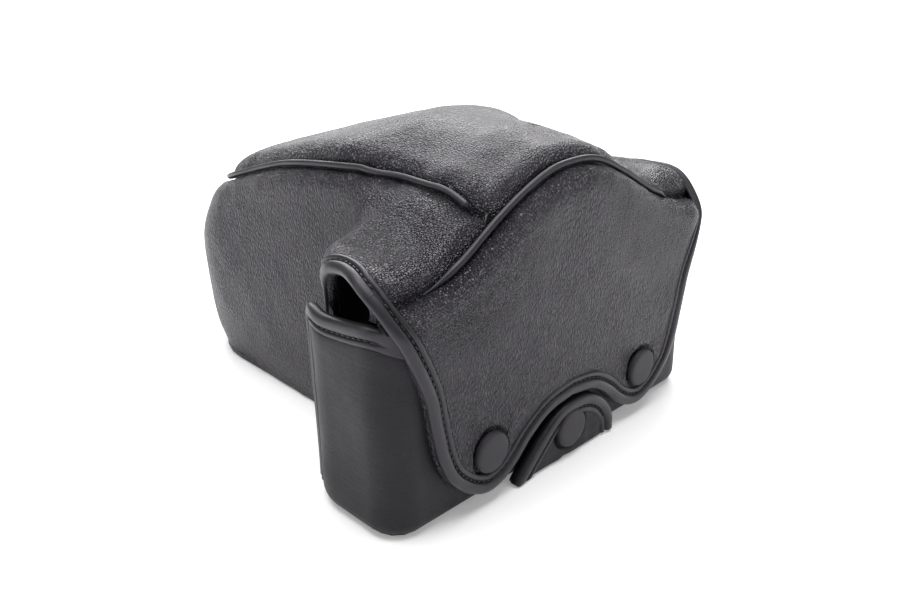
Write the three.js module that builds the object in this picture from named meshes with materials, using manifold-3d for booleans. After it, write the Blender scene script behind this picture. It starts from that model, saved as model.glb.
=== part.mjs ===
// A black leather ever-ready case for a 35 mm single-lens reflex camera, closed and empty.
// Millimetres, +Z up. X runs along the camera body, the nose for the lens points along -Y,
// and the back with its flap, two snaps and tab faces +Y.

import * as THREE from 'three';
import { mergeVertices } from 'three/addons/utils/BufferGeometryUtils.js';
import Module from 'manifold-3d';

const wasm = await Module();
wasm.setup();

// ---------------------------------------------------------------- driving dimensions

const BASE_HALF_WIDTH = 74;
const BASE_BACK = 28.5;
const BASE_FRONT = 14.5;
const BACK_CORNER = 11;
const FRONT_CORNER = 16.7;
const LEATHER = 1.8;
const LINING = 0.6;
const GAP = 0.2;
const LINING_GAP = 0.6;
const FLAP_CLEARANCE = 0.7;
const COVER_STANDOFF = FLAP_CLEARANCE + LINING + LINING_GAP + LEATHER;
const COVER_TUCK = 3.6;

const NOSE_HALF_WIDTH = 41;
const NOSE_FRONT = 137;
const NOSE_CORNER = 34;
const NOSE_FILLET = 20;
const NOSE_BOTTOM = 0.6;

const CREST_HEIGHT = 106;
const ROLL_RADIUS = 14;
const NOSE_ROLL_RADIUS = 28;
const NOSE_FALL = 36;
const BACK_SEAM_Y = 26.5;

const FOLD_HEIGHT = 69;
const BINDING_WIDTH = 3.6;
const BINDING_PROUD = 0.5;
const RIM_PROUD = 0.1;
const BINDING_EDGE_ROUND = 0.9;
const BINDING_EDGE_HALF = 0.6;
const BINDING_TAPER = 1.2;
const PIPING_RADIUS = 0.9;
const PIPING_GROOVE = 0.4;
const PIPING_SIDES = 8;
const BACK_PIPING_END = 62;
const FRONT_PIPING_END = 21;
const TRIM_CLEARANCE = 0.5;

const SNAP_SPREAD = 38;
const SNAP_HEIGHT = 19;
const TAB_SNAP_HEIGHT = 11;
const TAB_FOOT = 1;
const WASHER_RADIUS = 2.9;
const WASHER_THICKNESS = 1;
const CAP_RADIUS = 6.9;
const CAP_THICKNESS = 2.4;
const STUD_RADIUS = 2.4;
const SOCKET_BORE = 2.8;
const SOCKET_RADIUS = 4.6;
const SHANK_RADIUS = 1.5;

const SOLE_THICKNESS = 2.2;
const SOLE_INSET = 3;
const BASE_FLOOR = SOLE_THICKNESS + GAP;
const BASE_CORNER_ROUND = 4;
const LINING_CORNER_ROUND = 2.6;
const FOOT_INSET = 0.6;
const SILL_CLEARANCE = 8.6;
const BOARD_THICKNESS = 1.2;
const BOARD_INSET = 3.2;
const BOARD_TOP = BASE_FLOOR + LEATHER + GAP + BOARD_THICKNESS;

const SCREW_Y = 12;
const SCREW_HEAD_RADIUS = 9;
const SCREW_SHANK_RADIUS = 3.1;
const SCREW_TOP = 12;
const SCREW_SLOT_HALF = 0.9;
const GROMMET_BORE = SCREW_SHANK_RADIUS + 0.4;
const GROMMET_RADIUS = SCREW_SHANK_RADIUS + 1.3;
const RING_BORE = SCREW_SHANK_RADIUS + 0.2;
const RING_RADIUS = SCREW_SHANK_RADIUS + 2.6;
const RING_THICKNESS = 0.8;

// Cutters reach this far past the case on every side.
const BEYOND = 200;

// The lengths round the base wall from the middle of the back, where its stretches end.
const BACK_STRAIGHT = BASE_HALF_WIDTH - BACK_CORNER;
const BACK_ARC_END = BACK_STRAIGHT + BACK_CORNER * Math.PI / 2;
const END_STRAIGHT = BASE_BACK - BACK_CORNER + BASE_FRONT - FRONT_CORNER;
const END_WALL_END = BACK_ARC_END + END_STRAIGHT;

// ---------------------------------------------------------------- edges, as (way round, height)
// "Way round" is the length along the base wall from the middle of the back, towards the end.

// The lower edge of the cover: the hill over the tab, the snap lobe, the sweep up the corner,
// the arch over the strap lug, and the front leg that tucks inside the base.
const COVER_EDGE = [
  [0, 22.8], [10.8, 20.9], [19.2, 15.6], [25.5, 9.9], [32.5, 5.8], [39.2, 4.9], [46, 7.6], [51, 11.6],
  [55.4, 16.6], [59, 25], [61.5, 36], [64, 47.5], [67.5, 58.5], [70.8, 67], [75, 73.6], [81, 78],
  [88, 79], [95, 77.5], [102, 73], [107.5, 66], [110.5, 52], [112, 30], [112.6, 10],
];

// The rim of the base: low under the flap, level round the end, and down its front edge.
const BASE_RIM = [
  [0, 52], [30, 53], [52, 58], [66, 65.5], [76, 68.5], [86, 67.2], [95, 66.2], [102, 66.4],
  [106.5, 65], [109, 54], [110, 30], [110.6, 6.5],
];

// The upper edge of the tab, from its steep far side over its top and down its long near slope.
const TAB_EDGE = [
  [-23.6, 1.2], [-23.4, 5.4], [-21, 10.9], [-15.6, 16.6], [-8, 20.2], [0, 20.6], [6.5, 19.2],
  [13, 14.6], [18.5, 9.4], [22.5, 5.4], [26.5, 1.2],
];

const COVER_MATERIAL = { color: 0x2b2b2d, roughness: 0.5, metalness: 0 };
const BASE_MATERIAL = { color: 0x2d2d2f, roughness: 0.48, metalness: 0 };
const BINDING_MATERIAL = { color: 0x242426, roughness: 0.42, metalness: 0 };
const LINING_MATERIAL = { color: 0x131314, roughness: 0.95, metalness: 0 };
const CAP_MATERIAL = { color: 0x2a2a2b, roughness: 0.55, metalness: 0 };
const METAL_MATERIAL = { color: 0xb9b6ae, roughness: 0.3, metalness: 1 };
const BOARD_MATERIAL = { color: 0x3a3026, roughness: 0.9, metalness: 0 };

// ---------------------------------------------------------------- small tools

function smoothstep(low, high, value) {
  const t = THREE.MathUtils.clamp((value - low) / (high - low), 0, 1);
  return t * t * (3 - 2 * t);
}

// A smooth curve through points (way round, height), sampled evenly.
function smoothEdge(points, samples) {
  const stations = points.map(([way, z]) => new THREE.Vector3(way, z, 0));
  const curve = new THREE.CatmullRomCurve3(stations, false, 'centripetal');
  return curve.getSpacedPoints(samples).map((p) => new THREE.Vector2(p.x, p.y));
}

// The same edge on both halves, from the far end to the near end.
function mirroredEdge(points, samples) {
  const half = smoothEdge(points, samples);
  const other = half.slice(1).reverse().map((p) => new THREE.Vector2(-p.x, p.y));
  return [...other, ...half];
}

// Moves an edge sideways, up for a distance above 0 where the edge runs level.
function shiftedEdge(edge, distance) {
  return edge.map((point, i) => {
    const before = edge[Math.max(i - 1, 0)];
    const after = edge[Math.min(i + 1, edge.length - 1)];
    const along = after.clone().sub(before).normalize();
    return new THREE.Vector2(point.x - along.y * distance, point.y + along.x * distance);
  });
}

function indexedGeometry(positions, triangles) {
  const geometry = new THREE.BufferGeometry();
  geometry.setAttribute('position', new THREE.Float32BufferAttribute(positions, 3));
  geometry.setIndex(triangles);
  return geometry;
}

function toSolid(geometry) {
  const bare = geometry.clone();
  bare.deleteAttribute('normal');
  bare.deleteAttribute('uv');
  const merged = mergeVertices(bare, 1e-4);
  const vertProperties = new Float32Array(merged.attributes.position.array);
  const triVerts = new Uint32Array(merged.index.array);
  const solid = new wasm.Manifold(new wasm.Mesh({ numProp: 3, vertProperties, triVerts }));
  if (solid.volume() > 0) {
    return solid;
  }
  triVerts.reverse();
  return new wasm.Manifold(new wasm.Mesh({ numProp: 3, vertProperties, triVerts }));
}

function toGeometry(solid) {
  const { vertProperties, triVerts } = solid.getMesh();
  return indexedGeometry(vertProperties, [...triVerts]);
}

// Closed rings of equal length, stacked in order and capped by a fan at each end, the last one
// round the ring's middle or a given apex.
function stackRings(rings, apex = null) {
  const count = rings[0].length;
  const positions = rings.flat().flatMap((p) => [p.x, p.y, p.z]);
  const triangles = [];
  for (let ring = 0; ring < rings.length - 1; ring += 1) {
    for (let i = 0; i < count; i += 1) {
      const a = ring * count + i;
      const b = ring * count + (i + 1) % count;
      triangles.push(a, b, b + count, a, b + count, a + count);
    }
  }
  for (const [ring, flip] of [[0, true], [rings.length - 1, false]]) {
    const mean = rings[ring].reduce((sum, p) => sum.add(p), new THREE.Vector3()).divideScalar(count);
    const middle = !flip && apex ? apex : mean;
    const centre = positions.length / 3;
    positions.push(middle.x, middle.y, middle.z);
    for (let i = 0; i < count; i += 1) {
      const a = ring * count + i;
      const b = ring * count + (i + 1) % count;
      triangles.push(...(flip ? [b, a, centre] : [a, b, centre]));
    }
  }
  return indexedGeometry(positions, triangles);
}

function boxBetween(low, high) {
  const geometry = new THREE.BoxGeometry(high[0] - low[0], high[1] - low[1], high[2] - low[2]);
  geometry.translate((low[0] + high[0]) / 2, (low[1] + high[1]) / 2, (low[2] + high[2]) / 2);
  return toSolid(geometry);
}

// ---------------------------------------------------------------- plan outlines

// A point on the base wall and the way out of it, at a way round from the middle of the back.
function basePoint(way, offset) {
  const side = Math.sign(way) || 1;
  const length = Math.abs(way);
  let angle = Math.PI / 2;
  let centreX = length;
  let centreY = BASE_BACK - BACK_CORNER;
  let radius = BACK_CORNER;
  if (length > BACK_STRAIGHT) {
    centreX = BACK_STRAIGHT;
    angle = Math.max(Math.PI / 2 - (length - BACK_STRAIGHT) / BACK_CORNER, 0);
  }
  if (length > BACK_ARC_END) {
    centreY -= Math.min(length, END_WALL_END) - BACK_ARC_END;
  }
  if (length > END_WALL_END) {
    centreX = BASE_HALF_WIDTH - FRONT_CORNER;
    radius = FRONT_CORNER;
    angle = -(length - END_WALL_END) / FRONT_CORNER;
  }
  const outX = Math.cos(angle);
  const outY = Math.sin(angle);
  const x = centreX + (radius + offset) * outX;
  return { x: side * x, y: centreY + (radius + offset) * outY, outX: side * outX, outY };
}

// How far the cover stands off the base wall: over it at the back, tucked inside it in front.
function coverStandoff(way) {
  const overEnd = smoothstep(BACK_ARC_END - 8, END_WALL_END + 8, Math.abs(way));
  return THREE.MathUtils.lerp(COVER_STANDOFF, -COVER_TUCK, overEnd);
}

function coverPoint(way, offset) {
  return basePoint(way, coverStandoff(way) + offset);
}

// The half outline of the cover from the middle of the back to the middle of the nose.
function coverHalfOutline(offset) {
  const points = [];
  const centreX = BASE_HALF_WIDTH - FRONT_CORNER;
  const centreY = FRONT_CORNER - BASE_FRONT;
  const centreReach = FRONT_CORNER - COVER_TUCK + NOSE_FILLET;
  const filletX = NOSE_HALF_WIDTH + NOSE_FILLET;
  const filletY = centreY - Math.sqrt(centreReach ** 2 - (filletX - centreX) ** 2);
  const meetAngle = Math.atan2(filletY - centreY, filletX - centreX);
  const meetWay = END_WALL_END - meetAngle * FRONT_CORNER;
  const backSteps = 4;
  const cornerSteps = 14;
  for (let i = 0; i < backSteps; i += 1) {
    points.push(coverPoint(BACK_STRAIGHT * i / backSteps, offset));
  }
  for (let i = 0; i < cornerSteps; i += 1) {
    points.push(coverPoint(BACK_STRAIGHT + (meetWay - BACK_STRAIGHT) * i / cornerSteps, offset));
  }
  const filletRadius = NOSE_FILLET - offset;
  const filletSteps = 5;
  for (let i = 0; i < filletSteps; i += 1) {
    const angle = Math.PI + meetAngle * (1 - i / filletSteps);
    points.push({
      x: filletX + filletRadius * Math.cos(angle),
      y: filletY + filletRadius * Math.sin(angle),
      outX: -Math.cos(angle),
      outY: -Math.sin(angle),
    });
  }
  const noseX = NOSE_HALF_WIDTH + offset;
  const cornerY = -NOSE_FRONT + NOSE_CORNER;
  const sideSteps = 2;
  for (let i = 0; i < sideSteps; i += 1) {
    points.push({ x: noseX, y: filletY + (cornerY - filletY) * i / sideSteps, outX: 1, outY: 0 });
  }
  const roundSteps = 7;
  const cornerRadius = NOSE_CORNER + offset;
  for (let i = 0; i < roundSteps; i += 1) {
    const angle = -Math.PI / 2 * i / roundSteps;
    points.push({
      x: NOSE_HALF_WIDTH - NOSE_CORNER + cornerRadius * Math.cos(angle),
      y: cornerY + cornerRadius * Math.sin(angle),
      outX: Math.cos(angle),
      outY: Math.sin(angle),
    });
  }
  points.push({ x: (NOSE_HALF_WIDTH - NOSE_CORNER), y: -NOSE_FRONT - offset, outX: 0, outY: -1 });
  points.push({ x: 0, y: -NOSE_FRONT - offset, outX: 0, outY: -1 });
  return points;
}

function coverOutline(offset) {
  const half = coverHalfOutline(offset);
  const inner = half.slice(1, -1);
  const mirrored = inner.reverse().map((p) => ({ x: -p.x, y: p.y, outX: -p.outX, outY: p.outY }));
  // Anticlockwise seen from above: the -X half first, then the +X half backwards.
  return [half[0], ...mirrored.reverse(), half.at(-1), ...half.slice(1, -1).reverse()];
}

// ---------------------------------------------------------------- the top of the cover

// Height along the middle, from the back of the hump to the tip of the nose.
function crestHeight(y) {
  const fall = THREE.MathUtils.clamp((-y - 25) / (NOSE_FRONT - 25), 0, 1.1);
  return CREST_HEIGHT - NOSE_FALL * fall ** 1.2;
}

// Height of the seam between the side panel and the top panel.
function frontSeamHeight(y) {
  return crestHeight(y) - 12 + 4.5 * smoothstep(16, 75, -y) - 4.5 * smoothstep(4, 28, y);
}

// Height across the body, from the hump down to the shoulders, a little lower along the back.
function shoulderHeight(x, y) {
  return CREST_HEIGHT - 30 * smoothstep(2, 74, Math.abs(x)) - 4 * smoothstep(2, 28, y);
}

function crownHeight(x, y) {
  const noseHeight = crestHeight(y) - 4 * (x / NOSE_HALF_WIDTH) ** 2;
  return THREE.MathUtils.lerp(shoulderHeight(x, y), noseHeight, smoothstep(8, 44, -y));
}

// One solid of the cover's form: upright walls, a rolled shoulder and the crown.
const FORM_CENTRE = new THREE.Vector2(0, -18);
const ROLL_STEPS = 4;
const CROWN_STEPS = 4;

function rollRadius(edge, offset) {
  return THREE.MathUtils.lerp(ROLL_RADIUS, NOSE_ROLL_RADIUS, smoothstep(60, NOSE_FRONT, -edge.y)) + offset;
}

function rollPoint(edge, offset, step) {
  const radius = rollRadius(edge, offset);
  const angle = Math.PI / 2 * step / ROLL_STEPS;
  const inset = radius * (1 - Math.cos(angle));
  const x = edge.x - edge.outX * inset;
  const y = edge.y - edge.outY * inset;
  const topX = edge.x - edge.outX * radius;
  const topY = edge.y - edge.outY * radius;
  return new THREE.Vector3(x, y, crownHeight(topX, topY) + offset - radius * (1 - Math.sin(angle)));
}

function crownPoint(edge, offset, step) {
  const start = rollPoint(edge, offset, ROLL_STEPS);
  const t = step / CROWN_STEPS;
  const x = THREE.MathUtils.lerp(start.x, FORM_CENTRE.x, t);
  const y = THREE.MathUtils.lerp(start.y, FORM_CENTRE.y, t);
  return new THREE.Vector3(x, y, crownHeight(x, y) + offset);
}

function coverForm(offset, bottom) {
  const outline = coverOutline(offset);
  const rings = [outline.map((p) => new THREE.Vector3(p.x, p.y, bottom))];
  for (let step = 0; step <= ROLL_STEPS; step += 1) {
    rings.push(outline.map((p) => rollPoint(p, offset, step)));
  }
  for (let step = 1; step < CROWN_STEPS; step += 1) {
    rings.push(outline.map((p) => crownPoint(p, offset, step)));
  }
  const { x, y } = FORM_CENTRE;
  const apex = new THREE.Vector3(x, y, crownHeight(x, y) + offset);
  return toSolid(stackRings(rings, apex));
}

function coverShell(outerOffset, thickness, bottom) {
  return coverForm(outerOffset, bottom).subtract(coverForm(outerOffset - thickness, bottom - 5));
}

// ---------------------------------------------------------------- cutters

// A strip of wall between two offsets, from a level foot up to an edge.
function wallBand(foot, edge, wallPoint, innerOffset, outerOffset) {
  const sections = edge.map((top) => {
    const inner = wallPoint(top.x, innerOffset);
    const outer = wallPoint(top.x, outerOffset);
    return [
      new THREE.Vector3(inner.x, inner.y, foot),
      new THREE.Vector3(outer.x, outer.y, foot),
      new THREE.Vector3(outer.x, outer.y, top.y),
      new THREE.Vector3(inner.x, inner.y, top.y),
    ];
  });
  return toSolid(stackRings(sections));
}

// Everything above the front seam: a prism along X whose lower side follows the crest.
function aboveFrontSeam(clearance) {
  const steps = 24;
  const reach = NOSE_FRONT + 10;
  const shape = new THREE.Shape();
  shape.moveTo(BASE_BACK + 20, CREST_HEIGHT + 40);
  shape.lineTo(-reach, CREST_HEIGHT + 40);
  for (let i = 0; i <= steps; i += 1) {
    const y = -reach + (BASE_BACK + 20 + reach) * i / steps;
    shape.lineTo(y, frontSeamHeight(y) + clearance);
  }
  const geometry = new THREE.ExtrudeGeometry(shape, { depth: 240, bevelEnabled: false });
  geometry.rotateY(Math.PI / 2);
  geometry.rotateX(Math.PI / 2);
  geometry.translate(-120, 0, 0);
  return toSolid(geometry);
}

// The point where one meridian of the form crosses a seam; null where it doesn't.
function seamCrossing(edge, offset, seamValue) {
  const way = [];
  for (let step = 0; step <= ROLL_STEPS; step += 0.125) {
    way.push(rollPoint(edge, offset, step));
  }
  for (let step = 0.1; step < CROWN_STEPS; step += 0.1) {
    way.push(crownPoint(edge, offset, step));
  }
  way.unshift(new THREE.Vector3(edge.x, edge.y, way[0].z - 25));
  for (let i = 0; i < way.length - 1; i += 1) {
    const a = seamValue(way[i]);
    const b = seamValue(way[i + 1]);
    if (a * b <= 0 && a !== b) {
      return way[i].clone().lerp(way[i + 1], a / (a - b));
    }
  }
  return null;
}

function frontSeamValue(point) {
  return point.z - frontSeamHeight(point.y);
}

function backSeamValue(point) {
  return point.y - BACK_SEAM_Y;
}

// ---------------------------------------------------------------- round pieces

// A turned piece about the Y axis (pointing out of the back), its profile as [radius, y] pairs.
function turnedOut(profile, x, z, segments = 32) {
  const geometry = new THREE.LatheGeometry(profile.map(([r, y]) => new THREE.Vector2(r, y)), segments);
  geometry.translate(x, 0, z);
  return geometry;
}

// A turned piece about the axis of the tripod screw, its profile as [radius, z] pairs.
function turnedUp(profile, segments = 36) {
  const geometry = new THREE.LatheGeometry(profile.map(([r, z]) => new THREE.Vector2(r, z)), segments);
  geometry.rotateX(Math.PI / 2);
  geometry.translate(0, SCREW_Y, 0);
  return geometry;
}

// The profile of a plain ring, closed on itself.
function ringProfile(bore, radius, low, high) {
  return [[bore, low], [radius, low], [radius, high], [bore, high], [bore, low]];
}

function drill(x, z, radius, from, to) {
  return toSolid(turnedOut([[0, from], [radius, from], [radius, to], [0, to]], x, z, 24));
}

function screwHole(radius) {
  return toSolid(turnedUp([[0, -BEYOND], [radius, -BEYOND], [radius, SCREW_TOP], [0, SCREW_TOP]]));
}

// The largest body of a solid, without the slivers that grazing cutters leave.
function mainBody(solid) {
  return solid.decompose().sort((a, b) => b.volume() - a.volume())[0];
}

// The slab of a plan outline between two heights.
function slab(outline, low, high) {
  const ring = (z) => outline.map((p) => new THREE.Vector3(p.x, p.y, z));
  return toSolid(stackRings([ring(low), ring(high)]));
}

// ---------------------------------------------------------------- assembling

const caseGroup = new THREE.Group();

function addPart(name, shape, look) {
  const geometry = shape.isBufferGeometry ? toGeometry(toSolid(shape)) : toGeometry(shape);
  geometry.computeVertexNormals();
  const mesh = new THREE.Mesh(geometry, new THREE.MeshStandardMaterial(look));
  mesh.name = name;
  caseGroup.add(mesh);
}

const SNAPS = [
  { name: 'left', x: SNAP_SPREAD, z: SNAP_HEIGHT },
  { name: 'right', x: -SNAP_SPREAD, z: SNAP_HEIGHT },
  { name: 'tab', x: 0, z: TAB_SNAP_HEIGHT },
];

// ---- base: a leather trough, open in front where the nose passes, on a stitched sole

const FRONT_WALL_END = BASE_RIM.at(-1)[0] - BINDING_WIDTH;

// The closed plan of the base, its front run straight across between the two end walls.
function baseOutline(offset) {
  const steps = 44;
  const points = [];
  for (let i = 0; i <= steps; i += 1) {
    points.push(basePoint(THREE.MathUtils.lerp(FRONT_WALL_END, -FRONT_WALL_END, i / steps), offset));
  }
  return points;
}

// The rings of a rounded foot, from the floor up to where the wall stands upright.
function footRings(edge, offset, floor, round) {
  const steps = 2;
  const rings = [];
  for (let i = 0; i <= steps; i += 1) {
    const angle = Math.PI / 2 * i / steps;
    const inset = round * FOOT_INSET * (1 - Math.sin(angle));
    const z = floor + round * (1 - Math.cos(angle));
    rings.push(edge.map((p) => {
      const wall = basePoint(p.x, offset - inset);
      return new THREE.Vector3(wall.x, wall.y, z);
    }));
  }
  return rings;
}

// A tray with a rounded foot and a wall up to an edge; a low sill closes its front.
function trough(edge, outerOffset, floor, thickness, round) {
  const innerOffset = outerOffset - thickness;
  const atEdge = (offset) => edge.map((p) => {
    const wall = basePoint(p.x, offset);
    return new THREE.Vector3(wall.x, wall.y, p.y);
  });
  return toSolid(stackRings([
    ...footRings(edge, outerOffset, floor, round),
    atEdge(outerOffset),
    atEdge(innerOffset),
    ...footRings(edge, innerOffset, floor + thickness, round).reverse(),
  ]));
}

// A rolled strip along an edge of the leather. "inward" is the side that the leather is on.
function edgeBinding(edge, wallPoint, inward, innerOffset, outerOffset, proud) {
  const root = shiftedEdge(edge, inward * (BINDING_WIDTH - 2 * GAP));
  const shoulder = shiftedEdge(edge, inward * (BINDING_WIDTH - BINDING_TAPER));
  const roll = shiftedEdge(edge, inward * BINDING_EDGE_ROUND);
  const middle = (innerOffset + outerOffset) / 2;
  const at = (point, offset) => {
    const wall = wallPoint(point.x, offset);
    return new THREE.Vector3(wall.x, wall.y, point.y);
  };
  const sections = edge.map((tip, i) => [
    at(root[i], innerOffset),
    at(root[i], outerOffset),
    at(shoulder[i], outerOffset + proud),
    at(roll[i], outerOffset + proud),
    at(tip, middle + BINDING_EDGE_HALF),
    at(tip, middle - BINDING_EDGE_HALF),
    at(roll[i], innerOffset),
  ]);
  return toSolid(stackRings(sections));
}

function baseParts() {
  const rim = mirroredEdge(BASE_RIM, 36);
  const leatherTop = shiftedEdge(rim, -BINDING_WIDTH);
  const leatherFloor = BASE_FLOOR + LEATHER;
  const liningOuter = -LEATHER - GAP;
  let shell = trough(leatherTop, 0, BASE_FLOOR, LEATHER, BASE_CORNER_ROUND)
    .subtract(screwHole(GROMMET_RADIUS + GAP));
  let lining = trough(leatherTop, liningOuter, BOARD_TOP + GAP, LINING, LINING_CORNER_ROUND)
    .subtract(screwHole(RING_RADIUS + GAP));
  for (const snap of SNAPS) {
    const shankHole = drill(snap.x, snap.z, SHANK_RADIUS + GAP, BASE_BACK - 8, BASE_BACK + 5);
    shell = shell.subtract(shankHole);
    lining = lining.subtract(shankHole);
  }
  const board = slab(baseOutline(-LEATHER - BOARD_INSET), leatherFloor + GAP, BOARD_TOP)
    .subtract(screwHole(GROMMET_RADIUS + GAP));
  const sole = slab(baseOutline(-SOLE_INSET), 0, SOLE_THICKNESS)
    .subtract(screwHole(SCREW_HEAD_RADIUS + 0.5));
  const aboveSill = boxBetween([-BEYOND, -BEYOND, SILL_CLEARANCE], [BEYOND, BEYOND, BEYOND]);
  const binding = edgeBinding(rim, basePoint, -1, liningOuter - LINING, 0, RIM_PROUD)
    .intersect(aboveSill);
  addPart('base_shell', shell, BASE_MATERIAL);
  addPart('base_lining', lining, LINING_MATERIAL);
  addPart('base_board', board, BOARD_MATERIAL);
  addPart('base_rim_binding', binding, BINDING_MATERIAL);
  addPart('sole', sole, BASE_MATERIAL);
  const grommet = ringProfile(GROMMET_BORE, GROMMET_RADIUS, BASE_FLOOR, BOARD_TOP);
  addPart('screw_grommet', turnedUp(grommet), METAL_MATERIAL);
}

// ---- screw: the captive tripod screw in the sole

function screwParts() {
  const slotDepth = 1;
  const headLow = 0.4;
  const headTop = SOLE_THICKNESS - 0.1;
  const slotLength = 6;
  const screw = toSolid(turnedUp([
    [0, headLow], [SCREW_HEAD_RADIUS, headLow], [SCREW_HEAD_RADIUS, headTop],
    [SCREW_SHANK_RADIUS, headTop], [SCREW_SHANK_RADIUS, SCREW_TOP], [0, SCREW_TOP],
  ]));
  const slot = boxBetween(
    [-slotLength, SCREW_Y - SCREW_SLOT_HALF, headLow - 1],
    [slotLength, SCREW_Y + SCREW_SLOT_HALF, headLow + slotDepth],
  );
  addPart('tripod_screw', screw.subtract(slot), METAL_MATERIAL);
  const ringLow = BOARD_TOP + GAP;
  const ring = ringProfile(RING_BORE, RING_RADIUS, ringLow, ringLow + RING_THICKNESS);
  addPart('screw_retaining_ring', turnedUp(ring), METAL_MATERIAL);
}

// ---- snaps: stud and inside washer on the base, socket and cap on the flap or tab

function snapParts() {
  const liningFace = BASE_BACK - LEATHER - GAP - LINING;
  const washerFace = liningFace - WASHER_THICKNESS;
  const socketFace = BASE_BACK + FLAP_CLEARANCE;
  const socketBack = BASE_BACK + COVER_STANDOFF;
  const capFace = socketBack + GAP;
  const capTop = capFace + CAP_THICKNESS;
  const stud = [
    [0, washerFace], [SHANK_RADIUS, washerFace], [SHANK_RADIUS, BASE_BACK + 0.15],
    [STUD_RADIUS, BASE_BACK + 0.3], [STUD_RADIUS - 0.3, BASE_BACK + 1.2], [STUD_RADIUS, BASE_BACK + 2.1],
    [STUD_RADIUS - 0.6, BASE_BACK + 2.6], [0, BASE_BACK + 2.6],
  ];
  const washer = ringProfile(SHANK_RADIUS + GAP, WASHER_RADIUS, washerFace, liningFace - GAP);
  const socket = ringProfile(SOCKET_BORE, SOCKET_RADIUS, socketFace, socketBack);
  const cap = [
    [0, capFace], [CAP_RADIUS - 0.4, capFace], [CAP_RADIUS, capFace + 0.5], [CAP_RADIUS, capTop - 1],
    [CAP_RADIUS - 0.3, capTop - 0.4], [CAP_RADIUS - 1, capTop], [0, capTop],
  ];
  for (const { name, x, z } of SNAPS) {
    addPart(`snap_stud_${name}`, turnedOut(stud, x, z, 24), METAL_MATERIAL);
    addPart(`snap_washer_${name}`, turnedOut(washer, x, z, 24), METAL_MATERIAL);
    addPart(`snap_socket_${name}`, turnedOut(socket, x, z, 24), METAL_MATERIAL);
    addPart(`snap_cap_${name}`, turnedOut(cap, x, z, 32), CAP_MATERIAL);
  }
}

function socketHole(snap) {
  return drill(snap.x, snap.z, SOCKET_RADIUS + GAP, BASE_BACK + 0.2, BASE_BACK + COVER_STANDOFF + 1);
}

// ---- tab: the tongue from the sole that snaps over the middle of the back

function tabParts() {
  const edge = smoothEdge(TAB_EDGE, 44);
  const top = shiftedEdge(edge, -BINDING_WIDTH).filter((p) => p.y > TAB_FOOT + GAP);
  const panel = wallBand(TAB_FOOT, top, basePoint, FLAP_CLEARANCE, COVER_STANDOFF)
    .subtract(socketHole(SNAPS[2]));
  const aboveFoot = boxBetween([-BEYOND, 0, TAB_FOOT], [BEYOND, BEYOND, BEYOND]);
  const binding = edgeBinding(edge, basePoint, -1, FLAP_CLEARANCE, COVER_STANDOFF, BINDING_PROUD)
    .intersect(aboveFoot);
  addPart('tab_panel', panel, BASE_MATERIAL);
  addPart('tab_binding', binding, BINDING_MATERIAL);
}

// ---- cover and flap: the nose, the side wrap, the top, the yoke and the flap below it

// The back seam runs along the roll of the back, from the far end to the near end.
function backSeamCurve() {
  const half = coverHalfOutline(0);
  const mirrored = half.slice(1).map((p) => ({ x: -p.x, y: p.y, outX: -p.outX, outY: p.outY })).reverse();
  return [...mirrored, ...half].map((edge) => seamCrossing(edge, 0, backSeamValue)).filter((p) => p);
}

// Height of the cover over the body part, where the back rolls over into the crown.
function topHeight(x, y) {
  const rollStart = BASE_BACK + COVER_STANDOFF - ROLL_RADIUS;
  const over = Math.max(y - rollStart, 0);
  return crownHeight(x, Math.min(y, rollStart)) - ROLL_RADIUS + Math.sqrt(ROLL_RADIUS ** 2 - over ** 2);
}

// How far out the front seam lies on the body part, found by halving.
function frontSeamReach(y) {
  let near = 5;
  let far = 60;
  for (let i = 0; i < 24; i += 1) {
    const x = (near + far) / 2;
    if (topHeight(x, y) > frontSeamHeight(y)) near = x;
    else far = x;
  }
  return near;
}

// The front seam runs from the back seam along the near side, round the nose and back again.
function frontSeamCurve() {
  const overBody = [];
  for (let y = BACK_SEAM_Y - 3; y > -18; y -= 6) {
    overBody.push(new THREE.Vector3(frontSeamReach(y), y, frontSeamHeight(y)));
  }
  const aroundNose = coverHalfOutline(0)
    .map((edge) => seamCrossing(edge, 0, frontSeamValue))
    .filter((p) => p && p.y < -22);
  const half = [...overBody, ...aroundNose];
  const mirrored = half.slice(0, -1).map((p) => new THREE.Vector3(-p.x, p.y, p.z)).reverse();
  return [...half, ...mirrored];
}

// A round cord through points.
function cordAlong(points, radius) {
  const curve = new THREE.CatmullRomCurve3(points, false, 'centripetal');
  const section = [];
  for (let i = 0; i < PIPING_SIDES; i += 1) {
    const angle = 2 * Math.PI * i / PIPING_SIDES;
    section.push(new THREE.Vector2(radius * Math.cos(angle), radius * Math.sin(angle)));
  }
  const options = { steps: points.length, bevelEnabled: false, extrudePath: curve };
  return toSolid(new THREE.ExtrudeGeometry(new THREE.Shape(section), options));
}

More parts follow.
